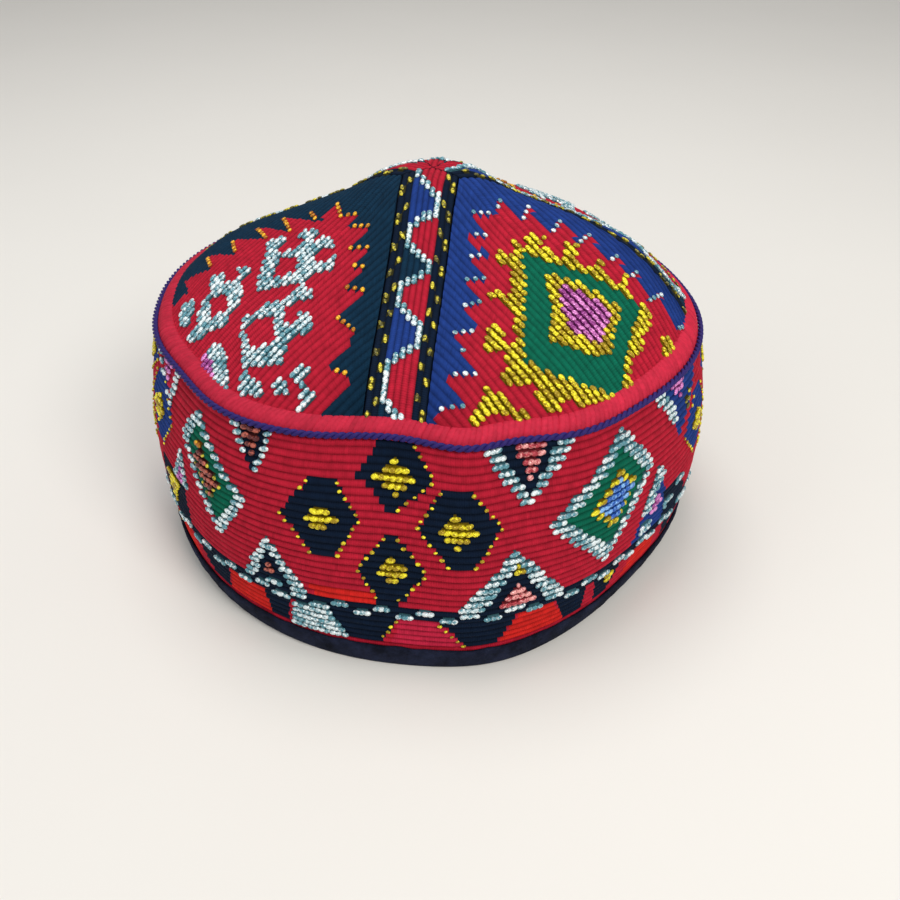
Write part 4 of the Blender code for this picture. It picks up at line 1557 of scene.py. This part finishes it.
def combed_thread(name, roughness):
    """Loose strands laid flat by the hand: fine fibres, lit softly, lighter and darker in turn."""
    material, tree, shader = new_material(
        name, {"Roughness": roughness, "Specular IOR Level": 0.12}
    )
    place = add_node(tree, "ShaderNodeTexCoord")
    unevenly_dyed(tree, shader, place, STRAND_CLOUD, 0.3)
    fibre = add_node(
        tree, "ShaderNodeTexNoise",
        {"Vector": place.outputs["Object"], "Scale": STRAND_FIBRE, "Detail": 3.0},
    )
    bump = add_node(
        tree, "ShaderNodeBump",
        {"Strength": 0.5, "Distance": 0.00015, "Height": fibre.outputs["Fac"]},
    )
    tree.links.new(bump.outputs["Normal"], shader.inputs["Normal"])
    return material


# ---------------------------------------------------------------- roll, cord and binding

# How far under the seam the band's slope is read, clear of the end of its bulge.
BELOW_SEAM = 0.002


def roll_points(azimuth, share, proud):
    """The roll's surface, from the band's top edge at share 0 to the crown's edge at share 1."""
    azimuth, share = np.broadcast_arrays(np.asarray(azimuth, float), np.asarray(share, float))
    edge = np.full(azimuth.shape, crown_edge_reach() + GAP / mean_crown_radius())
    bottom = band_points(azimuth, np.full(azimuth.shape, SEAM_HEIGHT))
    top = crown_points(azimuth, edge)
    normal = crown_facing(azimuth, edge)
    part = share[..., None]
    return bottom * (1 - part) + top * part + normal * (proud * 4 * part * (1 - part))


def roll_facing(azimuth):
    """Unit vectors out of the roll, half way between the band's and the crown's."""
    height = np.full(azimuth.shape, SEAM_HEIGHT - BELOW_SEAM)
    edge = np.full(azimuth.shape, crown_edge_reach())
    both = band_facing(azimuth, height) + crown_facing(azimuth, edge)
    return both / np.linalg.norm(both, axis=-1, keepdims=True)


ROLL_COLUMNS = 360
ROLL_ARC = 9
WHIP_STEPS = 9
# How far round one whip stitch leans from the roll's foot to its top, in stitches.
WHIP_LEAN = 1.6
# Radius of a whip stitch as a share of the pitch: above a half, neighbours sink into each other.
WHIP_FULLNESS = 0.95
WHIP_PROUD = 0.0003
WHIP_SIDES = 7
# A whip stitch narrows to this where it goes under at either end.
WHIP_END = 0.75
# The roll under the whipping: how much lower, and how bright in its shadow.
CORE_SUNK = 0.0004
CORE_SHADE = 0.45


def build_roll():
    rng = np.random.default_rng(41)
    tree = thread_tree("threads on the roll")
    material = combed_thread("stranded cotton on the roll", 0.68)
    azimuth = np.linspace(0, math.tau, ROLL_COLUMNS, endpoint=False)
    shares = np.linspace(0, 1, ROLL_ARC)
    core = roll_points(azimuth[None, :], shares[:, None], EDGE_ROLL_PROUD - CORE_SUNK)
    edge = np.full(azimuth.shape, crown_edge_reach() + GAP / mean_crown_radius())
    under = crown_points(azimuth, edge) - crown_facing(azimuth, edge) * CROWN_WALL
    seam = np.full(azimuth.shape, SEAM_HEIGHT)
    inside_wall = band_points(azimuth, seam) - band_facing(azimuth, seam - BELOW_SEAM) * BAND_WALL
    rows = np.concatenate([core, under[None], inside_wall[None]]) + MOVED
    count = len(rows)
    quads = grid_quads(count + 1, ROLL_COLUMNS, True).reshape(-1, 4) % (count * ROLL_COLUMNS)
    red = np.array(tuple(colours().vermilion))
    shades = np.tile(np.append(red * CORE_SHADE, 1.0), (quads.size, 1))
    piece = add_piece("roll_core", rows.reshape(-1, 3), quads[:, ::-1].tolist(), material, shades)
    seat(piece, "edge_roll")

    count = sizes().whip_stitches
    pitch = math.tau / count
    share = np.linspace(0.02, 1.04, WHIP_STEPS)
    start = (np.arange(count) + rng.uniform(-0.12, 0.12, count)) * pitch
    lean = WHIP_LEAN + rng.uniform(-0.2, 0.2, count)
    azimuths = start[:, None] + lean[:, None] * pitch * share
    radius = math.tau * mean_crown_radius() / count * WHIP_FULLNESS
    lines = roll_points(azimuths, share[None, :], EDGE_ROLL_PROUD)
    lines = lines - roll_facing(azimuths) * (radius - WHIP_PROUD)
    radii = np.broadcast_to(np.where(np.abs(share - 0.5) > 0.5, WHIP_END, 1.0), azimuths.shape)
    # Each whip stitch differs a little at random, and the roll is painted lighter on its right and
    # darker on its left, as painted light falling from the right.
    tone_and_side_light = np.clip(1 + 0.06 * rng.standard_normal(count), 0.8, 1.2) + 0.09 * np.sin(start)
    shades = red * tone_and_side_light[:, None, None] * np.ones((count, WHIP_STEPS, 1))
    piece = lines_piece("roll_whip_stitches", lines + MOVED, radii, shades, False)
    baked(piece, tree, {"Radius": radius, "Sides": WHIP_SIDES, "Material": material})
    seat(piece, None)


CORD_STEPS_A_TURN = 12
CORD_SIDES = 8
# Radius of a ply over its distance from the cord's middle, so that the two plies press together.
PLY_FULLNESS = 1.22
CORD_RISE = 0.0004


def build_cord():
    tree = thread_tree("plies of the cord")
    material = combed_thread("laid silk cord", 0.5)
    turns = round(math.tau * mean_crown_radius() / sizes().cord_twist)
    steps = turns * CORD_STEPS_A_TURN
    azimuth = np.linspace(0, math.tau, steps, endpoint=False)
    radius = sizes().cord_diameter / 4
    height = np.full(steps, SEAM_HEIGHT + CORD_RISE)
    out = band_facing(azimuth, height - 0.001)
    middle = band_points(azimuth, height) + out * (GAP + 2 * radius * 0.8)
    along = np.roll(middle, -1, axis=0) - np.roll(middle, 1, axis=0)
    along /= np.linalg.norm(along, axis=1, keepdims=True)
    up = np.cross(out, along)
    plies = []
    for phase in (0, math.pi):
        angle = (azimuth * turns + phase)[:, None]
        plies.append(middle + radius * (np.cos(angle) * out + np.sin(angle) * up))
    lines = np.stack(plies) + MOVED
    shades = np.tile(np.array(tuple(colours().purple)), (2, steps, 1))
    piece = lines_piece("cord_plies", lines, np.ones((2, steps)), shades, True)
    baked(piece, tree, {
        "Radius": radius * PLY_FULLNESS, "Sides": CORD_SIDES, "Material": material,
    })
    seat(piece, "seam_cord")


BINDING_COLUMNS = 420
# Round the fold: height as a share of the outer or inner height, outward from the band's face.
BINDING_SECTION = (
    (1.06, 0.10), (1.09, 0.6), (1.02, 1.0), (0.77, 1.12), (0.45, 1.12), (0.2, 1.0),
    (0.05, 0.75), (0.0, 0.2),
)
# The cloth's turned edges, which lie flat on the band, as a share of the height.
BINDING_TUCK = 0.97
# How far its upper edge wanders, and how deep it puckers.
BINDING_WANDER = 0.00045
BINDING_PUCKER = 0.00024


def build_binding():
    rng = np.random.default_rng(51)
    material = napped_cloth("brushed cotton binding", tuple(colours().binding))
    azimuth = np.linspace(0, math.tau, BINDING_COLUMNS, endpoint=False)
    near, thick = GAP, BINDING_THICKNESS
    rows = [(BINDING_HEIGHT * share, near + thick * out) for share, out in BINDING_SECTION]
    rows += [
        (BINDING_INNER_HEIGHT * share, -BAND_WALL - near - thick * out)
        for share, out in BINDING_SECTION[::-1]
    ]
    rows += [
        (BINDING_INNER_HEIGHT * BINDING_TUCK, -BAND_WALL - near), (thick, -BAND_WALL - near),
        (thick, near), (BINDING_HEIGHT * BINDING_TUCK, near),
    ]
    pucker = waves(rng, 1, BINDING_COLUMNS, (23, 47, 71, 97), True)[0]
    edge = waves(rng, 1, BINDING_COLUMNS, (13, 41, 67), True)[0]
    section = []
    for height, out in rows:
        heights = height + BINDING_WANDER * edge * height / BINDING_HEIGHT
        sides = np.sign(out) * BINDING_PUCKER * pucker * (height > thick)
        points = band_points(azimuth, np.maximum(heights, 0))
        radial = np.stack([np.sin(azimuth), -np.cos(azimuth), np.zeros_like(azimuth)], axis=-1)
        section.append(points + radial * (out + sides)[:, None])
    points = np.stack(section) + MOVED
    count = len(points)
    quads = grid_quads(count + 1, BINDING_COLUMNS, True).reshape(-1, 4) % (count * BINDING_COLUMNS)
    piece = add_piece("binding_cloth", points.reshape(-1, 3), quads.tolist(), material)
    seat(piece, "rim_binding")


# ---------------------------------------------------------------- stage


def soft_light(name, place, aim, size, power, tint):
    lamp = bpy.data.lights.new(name, "AREA")
    lamp.shape = "DISK"
    lamp.size = size
    lamp.energy = power
    lamp.color = tint
    holder = bpy.data.objects.new(name, lamp)
    holder.location = place
    holder.rotation_euler = (Vector(aim) - Vector(place)).to_track_quat("-Z", "Y").to_euler()
    bpy.context.scene.collection.objects.link(holder)


FLOOR_HALF = 2.0
LENS = 36
# The lights: name, place, size and tint. Each aims at the middle of the cap.
LIGHTS = (
    ("key", (0.45, -0.55, 0.75), 0.45, (1.0, 0.98, 0.95)),
    ("fill", (-0.7, -0.25, 0.5), 0.7, (0.95, 0.97, 1.0)),
    ("top", (-0.05, 0.25, 0.9), 0.5, (1.0, 1.0, 1.0)),
)
CAP_MIDDLE = (0, 0, 0.06)


def build_stage():
    scene = bpy.context.scene
    stage = scene.skullcap_stage
    view = bpy.data.cameras.new("camera")
    view.lens = view.sensor_width = LENS
    view.clip_start = 0.01
    holder = bpy.data.objects.new("camera", view)
    holder.location = stage.camera_place
    holder.rotation_euler = (math.pi / 2 - stage.camera_pitch, 0, 0)
    scene.collection.objects.link(holder)
    scene.camera = holder
    side = FLOOR_HALF
    corners = [(-side, -side, 0), (side, -side, 0), (side, side, 0), (-side, side, 0)]
    paint_of_floor = floor_paint("matt floor paint", tuple(colours().floor))
    floor = add_piece("floor", corners, [(0, 1, 2, 3)], paint_of_floor)
    for name, place, size, tint in LIGHTS:
        soft_light(name, place, CAP_MIDDLE, size, getattr(stage, name + "_power"), tint)
    world = bpy.data.worlds.new("studio")
    world.use_nodes = True
    sky = world.node_tree.nodes["Background"]
    sky.inputs["Color"].default_value = (1.0, 1.0, 1.0, 1.0)
    sky.inputs["Strength"].default_value = 0.45
    scene.world = world
    scene.view_settings.view_transform = "Standard"


# ---------------------------------------------------------------- add-on


class SKULLCAP_OT_band(bpy.types.Operator):
    """Makes the ribbed side band with its pattern"""

    bl_idname = "skullcap.band"
    bl_label = "Side band"

    def execute(self, context):
        build_band()
        return {"FINISHED"}


class SKULLCAP_OT_strips(bpy.types.Operator):
    """Makes the four strips of the crown"""

    bl_idname = "skullcap.strips"
    bl_label = "Crown strips"

    def execute(self, context):
        build_strips()
        return {"FINISHED"}


class SKULLCAP_OT_gores(bpy.types.Operator):
    """Makes the four gores of the crown"""

    bl_idname = "skullcap.gores"
    bl_label = "Crown gores"

    def execute(self, context):
        build_gores()
        return {"FINISHED"}


class SKULLCAP_OT_stitches(bpy.types.Operator):
    """Makes the metal stitches that the band, strips and gores have sown"""

    bl_idname = "skullcap.stitches"
    bl_label = "Metal stitches"

    def execute(self, context):
        build_stitches()
        return {"FINISHED"}


class SKULLCAP_OT_roll(bpy.types.Operator):
    """Makes the overcast roll between band and crown"""

    bl_idname = "skullcap.roll"
    bl_label = "Overcast roll"

    def execute(self, context):
        build_roll()
        return {"FINISHED"}


class SKULLCAP_OT_cord(bpy.types.Operator):
    """Makes the laid cord below the roll"""

    bl_idname = "skullcap.cord"
    bl_label = "Cord"

    def execute(self, context):
        build_cord()
        return {"FINISHED"}


class SKULLCAP_OT_binding(bpy.types.Operator):
    """Makes the cloth binding round the lower edge"""

    bl_idname = "skullcap.binding"
    bl_label = "Binding"

    def execute(self, context):
        build_binding()
        return {"FINISHED"}


class SKULLCAP_OT_stage(bpy.types.Operator):
    """Makes the floor, the lights and the camera"""

    bl_idname = "skullcap.stage"
    bl_label = "Stage"

    def execute(self, context):
        build_stage()
        return {"FINISHED"}


OPERATORS = (
    SKULLCAP_OT_band,
    SKULLCAP_OT_strips,
    SKULLCAP_OT_gores,
    SKULLCAP_OT_stitches,
    SKULLCAP_OT_roll,
    SKULLCAP_OT_cord,
    SKULLCAP_OT_binding,
    SKULLCAP_OT_stage,
)


class SKULLCAP_PT_panel(bpy.types.Panel):
    bl_idname = "SKULLCAP_PT_panel"
    bl_label = "Tubeteika skullcap"
    bl_space_type = "VIEW_3D"
    bl_region_type = "UI"
    bl_category = "Skullcap"

    def draw(self, context):
        layout = self.layout
        scene = context.scene
        for group in (scene.skullcap_sizes, scene.skullcap_colours, scene.skullcap_stage):
            box = layout.box()
            for name in group.__annotations__:
                box.prop(group, name)
        for operator in OPERATORS:
            layout.operator(operator.bl_idname)


CLASSES = (SkullcapSizes, SkullcapColours, SkullcapStage, *OPERATORS, SKULLCAP_PT_panel)


def register():
    for cls in CLASSES:
        bpy.utils.register_class(cls)
    bpy.types.Scene.skullcap_sizes = bpy.props.PointerProperty(type=SkullcapSizes)
    bpy.types.Scene.skullcap_colours = bpy.props.PointerProperty(type=SkullcapColours)
    bpy.types.Scene.skullcap_stage = bpy.props.PointerProperty(type=SkullcapStage)


def unregister():
    del bpy.types.Scene.skullcap_stage
    del bpy.types.Scene.skullcap_colours
    del bpy.types.Scene.skullcap_sizes
    for cls in reversed(CLASSES):
        bpy.utils.unregister_class(cls)


def main():
    register()
    bpy.ops.skullcap.band()
    bpy.ops.skullcap.strips()
    bpy.ops.skullcap.gores()
    bpy.ops.skullcap.stitches()
    bpy.ops.skullcap.roll()
    bpy.ops.skullcap.cord()
    bpy.ops.skullcap.binding()
    bpy.ops.skullcap.stage()


if __name__ == "__main__":
    main()
